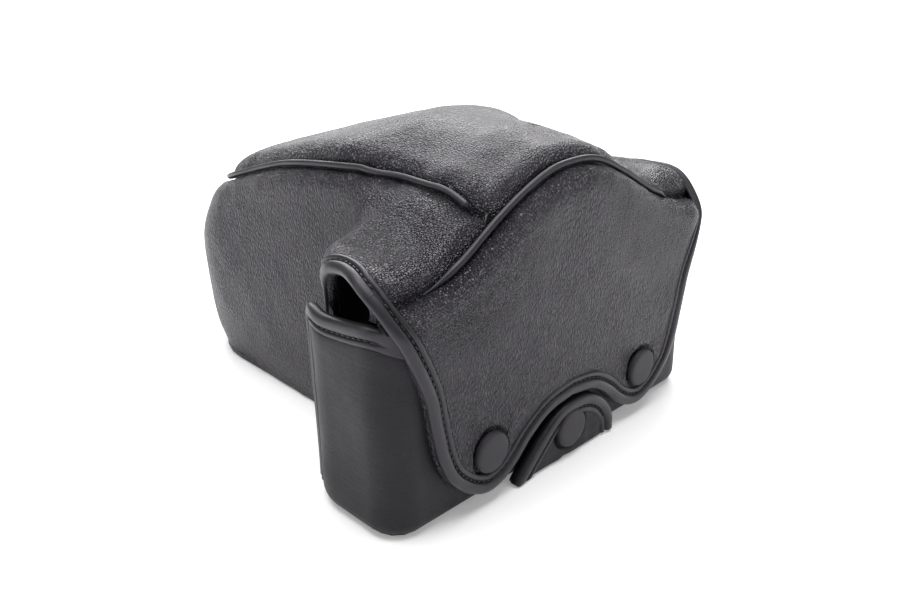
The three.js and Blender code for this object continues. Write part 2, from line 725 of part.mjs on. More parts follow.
function coverParts() {
  const edge = mirroredEdge(COVER_EDGE, 56);
  const trimmed = shiftedEdge(edge, BINDING_WIDTH + TRIM_CLEARANCE);
  const belowEdge = wallBand(-BEYOND, trimmed, coverPoint, -8, 6);
  const overSill = boxBetween([-BEYOND, -BASE_FRONT + 1, -BEYOND], [BEYOND, BEYOND, SILL_CLEARANCE]);
  const open = (solid) => solid.subtract(belowEdge).subtract(overSill);
  const leather = open(coverShell(0, LEATHER, NOSE_BOTTOM));
  const lining = open(coverShell(-LEATHER - LINING_GAP, LINING, NOSE_BOTTOM + LEATHER + GAP));

  const seamGap = GAP / 2;
  const behindPanels = [-BEYOND, BASE_BACK - ROLL_RADIUS, -BEYOND];
  const belowFold = boxBetween(behindPanels, [BEYOND, BEYOND, FOLD_HEIGHT - seamGap]);
  const flapSide = boxBetween(behindPanels, [BEYOND, BEYOND, FOLD_HEIGHT + seamGap]);
  const yokeCorner = [-BEYOND, BACK_SEAM_Y + seamGap, FOLD_HEIGHT + seamGap];
  const yokeSide = boxBetween(yokeCorner, [BEYOND, BEYOND, BEYOND]);
  const panelSide = boxBetween([-BEYOND, -BEYOND, -BEYOND], [BEYOND, BACK_SEAM_Y - seamGap, BEYOND]);

  const backSeam = backSeamCurve();
  const frontSeam = frontSeamCurve();
  const grooved = leather
    .subtract(cordAlong(backSeam, PIPING_RADIUS + PIPING_GROOVE))
    .subtract(cordAlong(frontSeam, PIPING_RADIUS + PIPING_GROOVE));
  const panels = grooved.intersect(panelSide).subtract(flapSide);
  addPart('top_panel', mainBody(panels.intersect(aboveFrontSeam(seamGap))), COVER_MATERIAL);
  addPart('side_panel', mainBody(panels.subtract(aboveFrontSeam(-seamGap))), COVER_MATERIAL);
  addPart('back_yoke', grooved.intersect(yokeSide), COVER_MATERIAL);
  addPart('cover_lining', lining.subtract(flapSide), LINING_MATERIAL);

  const noseSide = boxBetween([-BEYOND, -BEYOND, -BEYOND], [BEYOND, -BASE_FRONT - 1, BEYOND]);
  const noseFloor = slab(coverOutline(-LEATHER - LINING_GAP), NOSE_BOTTOM, NOSE_BOTTOM + LEATHER);
  addPart('nose_floor', noseFloor.intersect(noseSide), COVER_MATERIAL);

  const backPipingReach = boxBetween([-BACK_PIPING_END, 0, 0], [BACK_PIPING_END, BEYOND, BEYOND]);
  const frontPipingReach = boxBetween([-BEYOND, -BEYOND, 0], [BEYOND, FRONT_PIPING_END, BEYOND]);
  const backPiping = cordAlong(backSeam, PIPING_RADIUS).intersect(backPipingReach);
  const frontPiping = cordAlong(frontSeam, PIPING_RADIUS).intersect(frontPipingReach);
  addPart('back_piping', backPiping, BINDING_MATERIAL);
  addPart('front_piping', frontPiping, BINDING_MATERIAL);

  let flapPanel = leather.intersect(belowFold);
  // The lining stays off the rounded corners, where it would rub the rim as the flap swings.
  const flatBack = boxBetween([-BACK_STRAIGHT, 0, -BEYOND], [BACK_STRAIGHT, BEYOND, BEYOND]);
  let flapLining = lining.intersect(belowFold).intersect(flatBack);
  for (const snap of SNAPS.slice(0, 2)) {
    flapPanel = flapPanel.subtract(socketHole(snap));
    flapLining = flapLining.subtract(socketHole(snap));
  }
  addPart('flap_panel', flapPanel, COVER_MATERIAL);
  addPart('flap_lining', flapLining, LINING_MATERIAL);

  const innerOffset = -LEATHER - LINING_GAP - LINING;
  const binding = edgeBinding(edge, coverPoint, 1, innerOffset, 0, BINDING_PROUD);
  const archBinding = binding.subtract(flapSide);
  const leftEnd = boxBetween([1, -BEYOND, -1], [BEYOND, BEYOND, BEYOND]);
  const rightEnd = boxBetween([-BEYOND, -BEYOND, -1], [-1, BEYOND, BEYOND]);
  addPart('flap_binding', binding.intersect(belowFold), BINDING_MATERIAL);
  addPart('arch_binding_left', archBinding.intersect(leftEnd), BINDING_MATERIAL);
  addPart('arch_binding_right', archBinding.intersect(rightEnd), BINDING_MATERIAL);
}

baseParts();
screwParts();
snapParts();
tabParts();
coverParts();

export default caseGroup;
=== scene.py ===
"""The looks of a black leather ever-ready camera case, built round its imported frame.

Lengths are millimetres until a mesh is made; the lights and the camera are placed in metres. X runs
along the camera body, the nose points along -Y, the back with its flap faces +Y, and Z is up. The
case's leather is laid over two forms: the cover's form, a table of points by the length round its
outline and the length up its meridians, and the wall of the base, by the height and the way round
it. A way is always a length round the base wall from the middle of the back.
"""

import math

import bmesh
import bpy
import numpy as np
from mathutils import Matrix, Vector


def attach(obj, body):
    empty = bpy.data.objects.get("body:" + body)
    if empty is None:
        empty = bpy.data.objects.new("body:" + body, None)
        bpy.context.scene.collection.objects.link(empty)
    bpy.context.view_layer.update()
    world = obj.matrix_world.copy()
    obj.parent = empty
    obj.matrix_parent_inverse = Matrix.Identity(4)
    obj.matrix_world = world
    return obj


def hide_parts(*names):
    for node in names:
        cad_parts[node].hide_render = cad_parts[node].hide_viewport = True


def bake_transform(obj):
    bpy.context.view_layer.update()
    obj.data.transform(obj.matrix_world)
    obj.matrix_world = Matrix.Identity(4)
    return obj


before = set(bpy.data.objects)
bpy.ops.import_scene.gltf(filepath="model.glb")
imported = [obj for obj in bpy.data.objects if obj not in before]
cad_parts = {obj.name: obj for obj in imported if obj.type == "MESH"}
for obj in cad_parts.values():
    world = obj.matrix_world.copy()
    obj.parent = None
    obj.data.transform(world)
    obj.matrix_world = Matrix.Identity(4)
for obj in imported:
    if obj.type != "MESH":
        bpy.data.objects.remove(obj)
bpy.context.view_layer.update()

MM = 0.001

# ---------- driving dimensions

# The base, whose wall leans out a little over a span of heights, and the leather.
BASE_HALF_WIDTH = 74.0
BASE_BACK = 28.5
BASE_FRONT = 14.5
BACK_CORNER = 11.0
FRONT_CORNER = 16.7
WALL_LEAN = 1.0
LEAN_HEIGHTS = (10, 66)
WALL_FOOT = 5.2
FOOT_RADIUS = 4.4
WALL_END_WAY = 109.5
LEATHER = 1.8
PANEL_THICKNESS = 2.8
TAB_THICKNESS = 2.2

# The cover stands off the base at the back, and tucks inside it at the ends.
COVER_STANDOFF = 3.7
COVER_TUCK = 3.6

NOSE_HALF_WIDTH = 41.0
NOSE_FRONT = 137.0
NOSE_CORNER = 34.0
NOSE_FILLET = 20.0
NOSE_BOTTOM = 0.8

# The top: its crest, which falls along the nose, its shoulders, and its rolls into the wall.
CREST_HEIGHT = 106.0
CREST_LEVEL_LENGTH = 25.0
NOSE_FALL = 36.0
NOSE_SIDE_FALL = 5.0
SHOULDER_FALL = 30.0
END_RISE = 5.5
ROLL_RADIUS = 14.0
END_ROLL_RADIUS = 6.0
NOSE_ROLL_RADIUS = 28.0
ROLL_SLACK = 4.0
BACK_SEAM_Y = 26.5
FRONT_SEAM_DROP = 12.0
FRONT_SEAM_SWAY = 4.5
# Where the meridians end on the ridge, as (length round the cover's outline, y).
RIDGE_ENDS = [
    (0, 2), (84, 1.4), (100, -1.8), (112, -3.4), (118, -4.9), (124, -6.3), (127, -9.3), (130, -13.5),
    (133, -18.5), (136, -23), (139, -26.5), (142, -29), (146, -31.5), (218, -88), (240, -95),
    (284, -97),
]

# How finely the cover's form is tabled, and how it is evened along its outline below the crown.
HALF_COLUMNS = 400
TABLE_ROWS = 340
TABLE_LOW = -4.0
TABLE_STEP = 0.5
SEARCH_TOP = 130
SEARCH_STEP = 0.25
EVENING_REACH = 8
EVENING_WIDTH = 3.0
EVENING_ENDS = (98, 122)

# The flap's binding is a strip of its own up to this way.
BINDING_SPLIT_WAY = 77.0

# A welt's radius and how far its middle stands off the leather, in its run and at its sunk tips.
PIPING_RADIUS = 1.05
PIPING_TIP_RADIUS = 0.35
PIPING_PROUD = -0.45
PIPING_TIP_PROUD = -2.9

SNAP_SPREAD = 38.0
SNAP_HEIGHT = 19.0
SNAP_PLACES = [(SNAP_SPREAD, SNAP_HEIGHT), (-SNAP_SPREAD, SNAP_HEIGHT)]
TAB_SNAP_HEIGHT = 11.0
TAB_FOOT = 1.0
# A snap cap turned round its axis, as (radius, height over the leather).
SNAP_CAP_PROFILE = [
    (0.05, 1.5), (3.0, 1.5), (5.3, 1.46), (6.0, 1.35), (6.4, 1.1), (6.62, 0.7), (6.7, 0.2),
    (6.7, -0.5), (6.4, -0.9), (0.05, -0.9),
]

# A stitch, as radii at places along it.
STITCH_PITCH = 2.3
STITCH_INSET = 4.1
STITCH_STATIONS = np.array([-0.78, -0.62, 0.0, 0.62, 0.78])
STITCH_RADII = np.array([0.10, 0.24, 0.27, 0.24, 0.10])
STITCH_SIDES = 6

BACK_STRAIGHT = BASE_HALF_WIDTH - BACK_CORNER
BACK_ARC_END = BACK_STRAIGHT + BACK_CORNER * math.pi / 2
END_WALL_END = BACK_ARC_END + BASE_BACK - BACK_CORNER + BASE_FRONT - FRONT_CORNER

# Edges as (way, height).
COVER_EDGE = [
    (0, 22.8), (10.8, 20.9), (19.2, 15.6), (25.5, 9.9), (32.5, 5.8), (39.2, 4.9), (46, 7.6),
    (51, 11.6), (55.4, 16.6), (59, 25), (61.5, 36), (64, 47.5), (67.5, 58.5), (70.8, 67),
    (75, 73.6), (81, 78), (88, 79), (95, 77.5), (102, 73), (107.5, 66), (110.5, 52),
    (112, 30), (112.6, 10),
]
BASE_RIM = [
    (0, 52), (30, 53), (52, 58), (66, 65.5), (76, 68.5), (86, 67.2), (95, 66.2), (102, 66.4),
    (106.5, 65), (109, 54), (110, 30), (110.6, 6.5),
]
TAB_EDGE = [
    (-23.6, 1.2), (-23.4, 5.4), (-21, 10.9), (-15.6, 16.6), (-8, 20.2), (0, 20.6), (6.5, 19.2),
    (13, 14.6), (18.5, 9.4), (22.5, 5.4), (26.5, 1.2),
]

# A rolled binding across its strip: (distance in from the edge, height over the leather).
BINDING_PROFILE = [
    (3.6, -2.8), (1.2, -2.8), (0.35, -2.3), (0.0, -1.4), (0.0, -0.5), (0.3, 0.3), (1.0, 0.75),
    (2.0, 0.9), (3.0, 0.8), (3.5, 0.45), (3.75, -0.15), (3.95, -0.45), (4.25, -0.45),
    (4.45, -0.1), (4.7, 0.3), (5.3, 0.45), (5.9, 0.3), (6.25, -0.1), (6.5, -0.7), (5.0, -1.3),
]
BINDING_SEAT = 1.0
BINDING_SEAT_EDGES = (6.6, 4.6)

# Rows of a panel crowd towards its seams, at these distances; the side's rows meet at one level.
ROWS_BY_SEAM = np.array([0, 0.35, 0.75, 1.2, 1.8, 2.6, 3.6, 5.0])
SPLIT_LEVEL = 84.0
SPLIT_MARGIN = 8

# Where the leather of the shoulders is shiny, and how that fades with distance.
GLOSS_PLACE = (49, 20, 82)
GLOSS_STRETCH = (0.8, 1, 1)
GLOSS_FADE = (42, 8)

FLOOR_HALF_WIDTH = 4000

# The lights and the camera, in metres. Softboxes as (name, place, size, power), aimed at one place.
STUDIO_FILL = 0.25
LIGHT_TARGET = (0.0, -0.03, 0.05)
SOFTBOXES = [
    ("overhead_softbox", (0.0, -0.1, 0.9), (0.9, 0.9), 13),
    ("back_softbox", (-0.7, -0.8, 0.6), (1.1, 0.7), 14),
    ("left_softbox", (0.85, -0.35, 0.45), (0.5, 0.6), 1.6),
    ("right_softbox", (-0.55, 0.75, 0.45), (0.5, 0.6), 1.5),
]
CAMERA_PLACE = (0.21368, 0.1925, 0.17478)
CAMERA_TARGET = (0.02341, 0, 0.05356)
CAMERA_LENS = 37.73
CAMERA_SENSOR = 36

# ---------- small mathematics


def smoothstep(low, high, value):
    t = np.clip((value - low) / (high - low), 0, 1)
    return t * t * (3 - 2 * t)


def mix(a, b, t):
    return a + (b - a) * t


def bell(value, width):
    return np.exp(-((value / width) ** 2))


def unit(vectors):
    return vectors / np.maximum(np.linalg.norm(vectors, axis=-1, keepdims=True), 1e-9)


def waves(points, length, seed, count=18):
    """A smooth random field from -1 to 1, with features about that long."""
    rng = np.random.default_rng(seed)
    directions = unit(rng.normal(size=(count, 3)))
    rates = 2 * math.pi / length * rng.uniform(0.7, 1.4, count)
    phases = rng.uniform(0, 2 * math.pi, count)
    return np.sin(points @ directions.T * rates + phases).sum(axis=-1) * math.sqrt(2 / count) / 2


def smooth_curve(points, spacing):
    """A centripetal Catmull-Rom curve through points, resampled evenly."""
    points = np.asarray(points, float)
    first = 2 * points[0] - points[1]
    last = 2 * points[-1] - points[-2]
    padded = np.vstack([first, points, last])
    samples = []
    for i in range(1, len(padded) - 2):
        p0, p1, p2, p3 = padded[i - 1:i + 3]
        t1 = math.sqrt(np.linalg.norm(p1 - p0))
        t2 = t1 + math.sqrt(np.linalg.norm(p2 - p1))
        t3 = t2 + math.sqrt(np.linalg.norm(p3 - p2))
        t = np.linspace(t1, t2, 24, endpoint=False)[:, None]
        a1 = (t1 - t) / t1 * p0 + t / t1 * p1
        a2 = (t2 - t) / (t2 - t1) * p1 + (t - t1) / (t2 - t1) * p2
        a3 = (t3 - t) / (t3 - t2) * p2 + (t - t2) / (t3 - t2) * p3
        b1 = (t2 - t) / t2 * a1 + t / t2 * a2
        b2 = (t3 - t) / (t3 - t1) * a2 + (t - t1) / (t3 - t1) * a3
        samples.append((t2 - t) / (t2 - t1) * b1 + (t - t1) / (t2 - t1) * b2)
    return resampled(np.vstack([*samples, points[-1:]]), spacing)


def lengths_along(points):
    """The length along a line of points, at each of them."""
    return np.concatenate([[0], np.cumsum(np.linalg.norm(np.diff(points, axis=0), axis=1))])


def resampled(points, spacing):
    lengths = lengths_along(points)
    count = max(int(round(lengths[-1] / spacing)), 2)
    stations = np.linspace(0, lengths[-1], count + 1)
    columns = [np.interp(stations, lengths, column) for column in points.T]
    return np.stack(columns, axis=1)


def circles(across, up, sides):
    """Unit circles of points, in the plane of each pair of directions."""
    turn = np.linspace(0, 2 * math.pi, sides, endpoint=False)[:, None]
    return np.cos(turn) * across[..., None, :] + np.sin(turn) * up[..., None, :]


def both_halves(points, spacing):
    """A half edge from the middle outwards, made whole from the far end to the near end."""
    half = smooth_curve(points, spacing)
    return np.vstack([half[:0:-1] * (-1, 1), half])


def shifted(edge, distance):
    """An edge of (way, height) points moved sideways: up where it runs level towards +way."""
    along = unit(np.gradient(edge, axis=0))
    return edge + np.stack([-along[:, 1], along[:, 0]], axis=1) * distance


def distance_to(points, curve):
    """The distance from each point to the nearest point of a dense curve."""
    flat = points.reshape(-1, 3)
    nearest = np.empty(len(flat))
    at_once = 4000
    for start in range(0, len(flat), at_once):
        block = flat[start:start + at_once]
        gaps = np.linalg.norm(block[:, None, :] - curve[None, :, :], axis=2)
        nearest[start:start + at_once] = gaps.min(axis=1)
    return nearest.reshape(points.shape[:-1])


# ---------- meshes


def new_object(name, points, faces, materials):
    """A smooth mesh; its points are given in millimetres."""
    mesh = bpy.data.meshes.new(name)
    places = np.asarray(points).reshape(-1, 3) * MM
    mesh.from_pydata(places.tolist(), [], [list(map(int, face)) for face in faces])
    for material in materials:
        mesh.materials.append(material)
    mesh.polygons.foreach_set("use_smooth", [True] * len(mesh.polygons))
    mesh.update()
    obj = bpy.data.objects.new(name, mesh)
    bpy.context.scene.collection.objects.link(obj)
    return obj


def grid_faces(rows, columns, close_rows=False, close_columns=False, first=0):
    """Quads of a grid of rows x columns points, wrapped round where asked."""
    row = np.arange(rows if close_rows else rows - 1)
    column = np.arange(columns if close_columns else columns - 1)
    row, column = np.meshgrid(row, column, indexing="ij")
    this_row = row * columns
    next_row = (row + 1) % rows * columns
    next_column = (column + 1) % columns
    corners = [this_row + column, this_row + next_column, next_row + next_column, next_row + column]
    return np.stack(corners, axis=-1).reshape(-1, 4) + first


def thicken(obj, thickness):
    """Thickens a sheet inwards; its inner side takes its second material."""
    solid = obj.modifiers.new("thickness", "SOLIDIFY")
    solid.thickness = thickness * MM
    solid.offset = -1
    solid.material_offset = 1
    solid.material_offset_rim = 0


def sheet_object(name, points, materials, thickness):
    """A leather panel from a grid of its outer points."""
    rows, columns = points.shape[:2]
    obj = new_object(name, points, grid_faces(rows, columns), materials)
    thicken(obj, thickness)
    return obj


def swept_object(name, sections, material):
    """A closed section carried along a path, with its two ends capped."""
    rows, columns = sections.shape[:2]
    faces = grid_faces(rows, columns, close_columns=True).tolist()
    faces.append(list(range(columns)))
    faces.append(list(range(rows * columns - 1, (rows - 1) * columns - 1, -1)))
    obj = new_object(name, sections, faces, [material])
    edit_mesh(obj, face_outwards)
    return obj


def edit_mesh(obj, change):
    shape = bmesh.new()
    shape.from_mesh(obj.data)
    change(shape)
    shape.to_mesh(obj.data)
    shape.free()


def face_outwards(shape):
    """Turns the faces of a closed shape outwards; end caps are flat, with sharp edges."""
    bmesh.ops.recalc_face_normals(shape, faces=shape.faces)
    for cap in [face for face in shape.faces if len(face.verts) > 4]:
        cap.smooth = False
        for edge in cap.edges:
            edge.smooth = False


def weld_ridge(shape):
    """Joins the two halves of the top where their meridians meet on the ridge."""
    bmesh.ops.remove_doubles(shape, verts=shape.verts, dist=0.02 * MM)


def grid_normals(points, close_rows=False):
    """Outward normals of a grid whose rows run round the case and whose columns run up it."""
    if close_rows:
        padded = np.concatenate([points[-1:], points, points[:1]])
        round_way = np.gradient(padded, axis=0)[1:-1]
    else:
        round_way = np.gradient(points, axis=0)
    return unit(np.cross(np.gradient(points, axis=1), round_way))


# ---------- the form of the base and cover


def base_wall(way, offset):
    """Plan points on the base wall and their outward directions."""
    way = np.asarray(way, float)
    length = np.abs(way)
    side = np.where(way < 0, -1.0, 1.0)
    centre_x = np.minimum(length, BACK_STRAIGHT)
    centre_y = BASE_BACK - BACK_CORNER - (np.clip(length, BACK_ARC_END, END_WALL_END) - BACK_ARC_END)
    angle = math.pi / 2 - np.clip(length - BACK_STRAIGHT, 0, BACK_ARC_END - BACK_STRAIGHT) / BACK_CORNER
    front = length > END_WALL_END
    radius = np.where(front, FRONT_CORNER, BACK_CORNER)
    centre_x = np.where(front, BASE_HALF_WIDTH - FRONT_CORNER, centre_x)
    angle = np.where(front, -(length - END_WALL_END) / FRONT_CORNER, angle)
    out_x = np.cos(angle)
    out_y = np.sin(angle)
    x = side * (centre_x + (radius + offset) * out_x)
    return x, centre_y + (radius + offset) * out_y, side * out_x, out_y


def base_at(way, height, proud=0.0):
    """A point that stands proud of the base wall, which leans out a little towards its rim."""
    x, y, _, _ = base_wall(way, proud + WALL_LEAN * smoothstep(*LEAN_HEIGHTS, height))
    return np.stack([x, y, np.broadcast_to(height, x.shape)], axis=-1)


def cover_standoff(way):
    """How far outside the base wall the cover's outline runs."""
    over_end = smoothstep(BACK_ARC_END - 8, END_WALL_END + 8, np.abs(way))
    return mix(COVER_STANDOFF, -COVER_TUCK, over_end)


def cover_half_outline():
    """The cover's outline from the middle of the back to the middle of the nose: x, y and way.

    The way is NaN where the cover has left the base wall.
    """
    centre_x = BASE_HALF_WIDTH - FRONT_CORNER
    centre_y = FRONT_CORNER - BASE_FRONT
    fillet_x = NOSE_HALF_WIDTH + NOSE_FILLET
    reach = FRONT_CORNER - COVER_TUCK + NOSE_FILLET
    fillet_y = centre_y - math.sqrt(reach ** 2 - (fillet_x - centre_x) ** 2)
    meet = math.atan2(fillet_y - centre_y, fillet_x - centre_x)
    ways = np.linspace(0, END_WALL_END - meet * FRONT_CORNER, 260)
    x, y, _, _ = base_wall(ways, cover_standoff(ways))
    turn = math.pi + meet * (1 - np.linspace(0, 1, 30)[1:])
    corner_y = -NOSE_FRONT + NOSE_CORNER
    side_y = np.linspace(fillet_y, corner_y, 50)[1:]
    corner = -math.pi / 2 * np.linspace(0, 1, 60)[1:]
    xs = [x, fillet_x + NOSE_FILLET * np.cos(turn), np.full(side_y.shape, NOSE_HALF_WIDTH)]
    ys = [y, fillet_y + NOSE_FILLET * np.sin(turn), side_y]
    xs += [NOSE_HALF_WIDTH - NOSE_CORNER + NOSE_CORNER * np.cos(corner), np.array([0.0])]
    ys += [corner_y + NOSE_CORNER * np.sin(corner), np.array([-NOSE_FRONT])]
    outline_x = np.concatenate(xs)
    outline_y = np.concatenate(ys)
    no_ways = np.full(len(outline_x) - len(ways), np.nan)
    return np.stack([outline_x, outline_y, np.concatenate([ways, no_ways])], axis=1)


def crest_height(y):
    fall = np.clip((-y - CREST_LEVEL_LENGTH) / (NOSE_FRONT - CREST_LEVEL_LENGTH), 0, 1.1)
    return CREST_HEIGHT - NOSE_FALL * fall ** 1.2


def front_seam_height(y):
    along_nose = FRONT_SEAM_SWAY * smoothstep(16, 75, -y)
    at_back = FRONT_SEAM_SWAY * smoothstep(4, 28, y)
    return crest_height(y) - FRONT_SEAM_DROP + along_nose - at_back


def crown_height(x, y):
    """The top's height: a hump over the prism, shoulders to the ends and a crest down the nose."""
    across = np.abs(x)
    at_end = smoothstep(45, 70, across)
    droop = mix(4 * smoothstep(2, 28, y), 10 * smoothstep(14, 32, y), at_end)
    shoulder = CREST_HEIGHT - SHOULDER_FALL * smoothstep(2, 74, across) + END_RISE * at_end - droop
    nose = crest_height(y) - NOSE_SIDE_FALL * (x / NOSE_HALF_WIDTH) ** 2
    return mix(shoulder, nose, smoothstep(8, 44, -y))


def form_bulge(points):
    """How far the leather stands off the plain form: a nose full at mid-height, and slow waves."""
    x, y, z = points[..., 0], points[..., 1], points[..., 2]
    along_nose = smoothstep(40, 110, -y)
    at_middle = bell(z - 40, 30)
    foot = bell(z, 9)
    bulge = along_nose * (2.5 * at_middle - 3.0 * foot)
    bulge += smoothstep(20, 40, -y) * (1 - along_nose) * (0.8 * at_middle - 1.5 * foot)
    return bulge + 0.35 * waves(points, 55, 3) + 0.15 * waves(points, 22, 4)


class CoverForm:
    """A table of the cover's surface, by u, the length round the outline, and s, the length up a meridian.

    On the wall s is the height; over the roll and the crown it is the length along the meridian.
    """

    def __init__(self):
        half = cover_half_outline()
        lengths = lengths_along(half[:, :2])
        self.half_length = lengths[-1]
        self.way_stations = half[~np.isnan(half[:, 2]), 2]
        self.way_lengths = lengths[:len(self.way_stations)]
        self.step = self.half_length / HALF_COLUMNS
        stations = np.linspace(0, self.half_length, HALF_COLUMNS + 1)
        x = np.interp(stations, lengths, half[:, 0])
        y = np.interp(stations, lengths, half[:, 1])
        x = np.concatenate([x, -x[-2:0:-1]])
        y = np.concatenate([y, y[-2:0:-1]])
        u = np.concatenate([stations, -stations[-2:0:-1]])
        self.columns = len(x)
        self.grid = TABLE_LOW + TABLE_STEP * np.arange(TABLE_ROWS)
        self.build(x, y, np.abs(u))

    def roll_radius(self, u, y):
        """The radius of the roll from the wall into the crown: tight at the ends, wide on the nose."""
        way = np.interp(u, self.way_lengths, self.way_stations)
        at_end = smoothstep(30, 74, way) * (1 - smoothstep(124, 160, u))
        radius = mix(ROLL_RADIUS, NOSE_ROLL_RADIUS, smoothstep(60, NOSE_FRONT, -y))
        return mix(radius, END_ROLL_RADIUS, at_end)

    def build(self, x, y, u):
        """Fills the table: each meridian runs up the wall, over the roll and across to the ridge."""
        along = np.stack([np.roll(x, -1) - np.roll(x, 1), np.roll(y, -1) - np.roll(y, 1)], axis=1)
        along = unit(along)
        out = np.stack([-along[:, 1], along[:, 0]], axis=1)
        radius = self.roll_radius(u, y)[:, None]
        angles = np.linspace(0, math.pi / 2, 40)[None, :]
        inset = radius * (1 - np.cos(angles))
        roll_x = x[:, None] - out[:, :1] * inset
        roll_y = y[:, None] - out[:, 1:] * inset
        t = np.linspace(0, 1, 90)[None, 1:]
        ridge_y = np.interp(u, *np.transpose(RIDGE_ENDS))
        crown_x = roll_x[:, -1:] * (1 - t)
        crown_y = mix(roll_y[:, -1:], ridge_y[:, None], t)
        xs = np.concatenate([x[:, None], roll_x, crown_x], axis=1)
        ys = np.concatenate([y[:, None], roll_y, crown_y], axis=1)
        roll_dip = radius * (1 - np.sin(angles))
        zs = crown_height(xs, ys) - np.concatenate([radius, roll_dip, np.zeros(crown_x.shape)], axis=1)
        zs[:, 0] = TABLE_LOW
        meridians = np.stack([xs, ys, zs], axis=-1)
        steps = np.linalg.norm(np.diff(meridians, axis=1), axis=2)
        climbed = np.concatenate([np.zeros((len(x), 1)), np.cumsum(steps, axis=1)], axis=1)
        ways_up = TABLE_LOW + climbed
        self.s_top = ways_up[:, -1]
        table = np.empty((len(x), TABLE_ROWS, 3))
        for i in range(len(x)):
            for k in range(3):
                table[i, :, k] = np.interp(self.grid, ways_up[i], meridians[i, :, k])
        shifts = np.arange(-EVENING_REACH, EVENING_REACH + 1)
        weights = bell(shifts * self.step, EVENING_WIDTH)
        evened = sum(w * np.roll(table, k, axis=0) for k, w in zip(shifts, weights)) / weights.sum()
        table = mix(evened, table, smoothstep(*EVENING_ENDS, self.grid)[None, :, None])
        normals = self.clean_normals(table)
        self.table = table + normals * form_bulge(table)[..., None]
        self.normals = self.clean_normals(self.table)

    def clean_normals(self, table):
        """Outward normals; past the end of a meridian, where it has no direction, straight up."""
        normals = grid_normals(table, close_rows=True)
        left_to_climb = (self.s_top[:, None] - self.grid)[..., None]
        at_top = smoothstep(8, 2, left_to_climb * np.ones(3))
        up = np.array([0.0, 0.0, 1.0])
        return unit(mix(normals, up, at_top))

    def sample(self, table, u, s):
        """A table's values between its points."""
        column = np.asarray(u) / self.step % self.columns
        row = np.clip((np.asarray(s) - TABLE_LOW) / TABLE_STEP, 0, TABLE_ROWS - 1.001)
        c = np.floor(column).astype(int)
        r = np.floor(row).astype(int)
        fc = (column - c)[..., None]
        fr = (row - r)[..., None]
        c %= self.columns
        c2 = (c + 1) % self.columns
        low = mix(table[c, r], table[c2, r], fc)
        high = mix(table[c, r + 1], table[c2, r + 1], fc)
        return mix(low, high, fr)

    def normal(self, u, s):
        return unit(self.sample(self.normals, u, s))

    def at(self, u, s, proud=0.0):
        """Points that stand proud of the cover's surface."""
        return self.sample(self.table, u, s) + self.normal(u, s) * np.asarray(proud, float)[..., None]

    def u_of_way(self, way):
        """The length round the cover's outline at a way round the base wall."""
        return np.sign(way) * np.interp(np.abs(way), self.way_stations, self.way_lengths)

    def top_of(self, u):
        """How far up a meridian the ridge is."""
        column = np.round(np.asarray(u) / self.step).astype(int) % self.columns
        return self.s_top[column]

    def crossing(self, u, seam_value):
        """How far up each meridian a seam is first crossed; NaN where it isn't."""
        s = np.arange(0, SEARCH_TOP, SEARCH_STEP)
        points = self.sample(self.table, np.asarray(u)[:, None], s[None, :])
        value = seam_value(points)
        change = (value[:, :-1] < 0) & (value[:, 1:] >= 0)
        found = change.any(axis=1)
        k = change.argmax(axis=1)
        rows = np.arange(len(k))
        a, b = value[rows, k], value[rows, k + 1]
        return np.where(found, s[k] + SEARCH_STEP * a / np.where(found, a - b, 1), np.nan)


COVER = CoverForm()

# ---------- seams and edges on the cover

ROUND = 2 * COVER.half_length


def heights_up(u, z):
    """How far up the meridians the cover reaches these heights."""
    found = COVER.crossing(u, lambda points: points[..., 2] - np.asarray(z)[:, None])
    return np.minimum(np.where(np.isnan(found), z, found), z + ROLL_SLACK)


def back_seam_value(points):
    return BACK_SEAM_Y - points[..., 1]


def front_seam_value(points):
    return points[..., 2] - front_seam_height(points[..., 1])


def cover_edge(spacing):
    """The cover's lower edge as (u, s), from the far front leg to the near one, and its ways."""
    edge = both_halves(COVER_EDGE, spacing)
    u = COVER.u_of_way(edge[:, 0])
    return np.stack([u, heights_up(u, edge[:, 1])], axis=1), edge[:, 0]


EDGE_US, EDGE_WAYS = cover_edge(0.8)
EDGE_CURVE = COVER.at(EDGE_US[:, 0], EDGE_US[:, 1])


def edge_height(u):
    """The lower bound of the cover's leather on a meridian."""
    near_half = EDGE_US[EDGE_US[:, 0] >= 0]
    on_edge = np.interp(np.abs(u), near_half[:, 0], near_half[:, 1])
    return np.where(np.abs(u) > EDGE_US[-1, 0], NOSE_BOTTOM, on_edge)


def folded(u):
    """The same meridian counted from the middle of the back, both ways."""
    return (np.asarray(u) + COVER.half_length) % ROUND - COVER.half_length


def seam_heights(u):
    """Up each meridian: the edge, the back seam and the front seam."""
    low = edge_height(folded(u))
    back = COVER.crossing(u, back_seam_value)
    front = COVER.crossing(u, front_seam_value)
    return low, np.where(np.isnan(back), -np.inf, back), front


def junctions():
    """u where the front seam meets the back seam, and where the back seam meets the edge."""
    u = np.arange(0, 90, 0.1)
    low, back, front = seam_heights(u)
    meets_front = u[np.argmax(front > back)]
    meets_edge = u[np.argmax(back < low)]
    return meets_front, meets_edge


T_JUNCTION_U, BACK_SEAM_END_U = junctions()


def seam_curves():
    """The back seam and the front seam as (u, s)."""
    u = np.arange(-BACK_SEAM_END_U, BACK_SEAM_END_U, 0.5)
    back = np.stack([u, seam_heights(u)[1]], axis=1)
    u = np.arange(T_JUNCTION_U, ROUND - T_JUNCTION_U, 0.5)
    front = np.stack([u, seam_heights(u)[2]], axis=1)
    return back, front


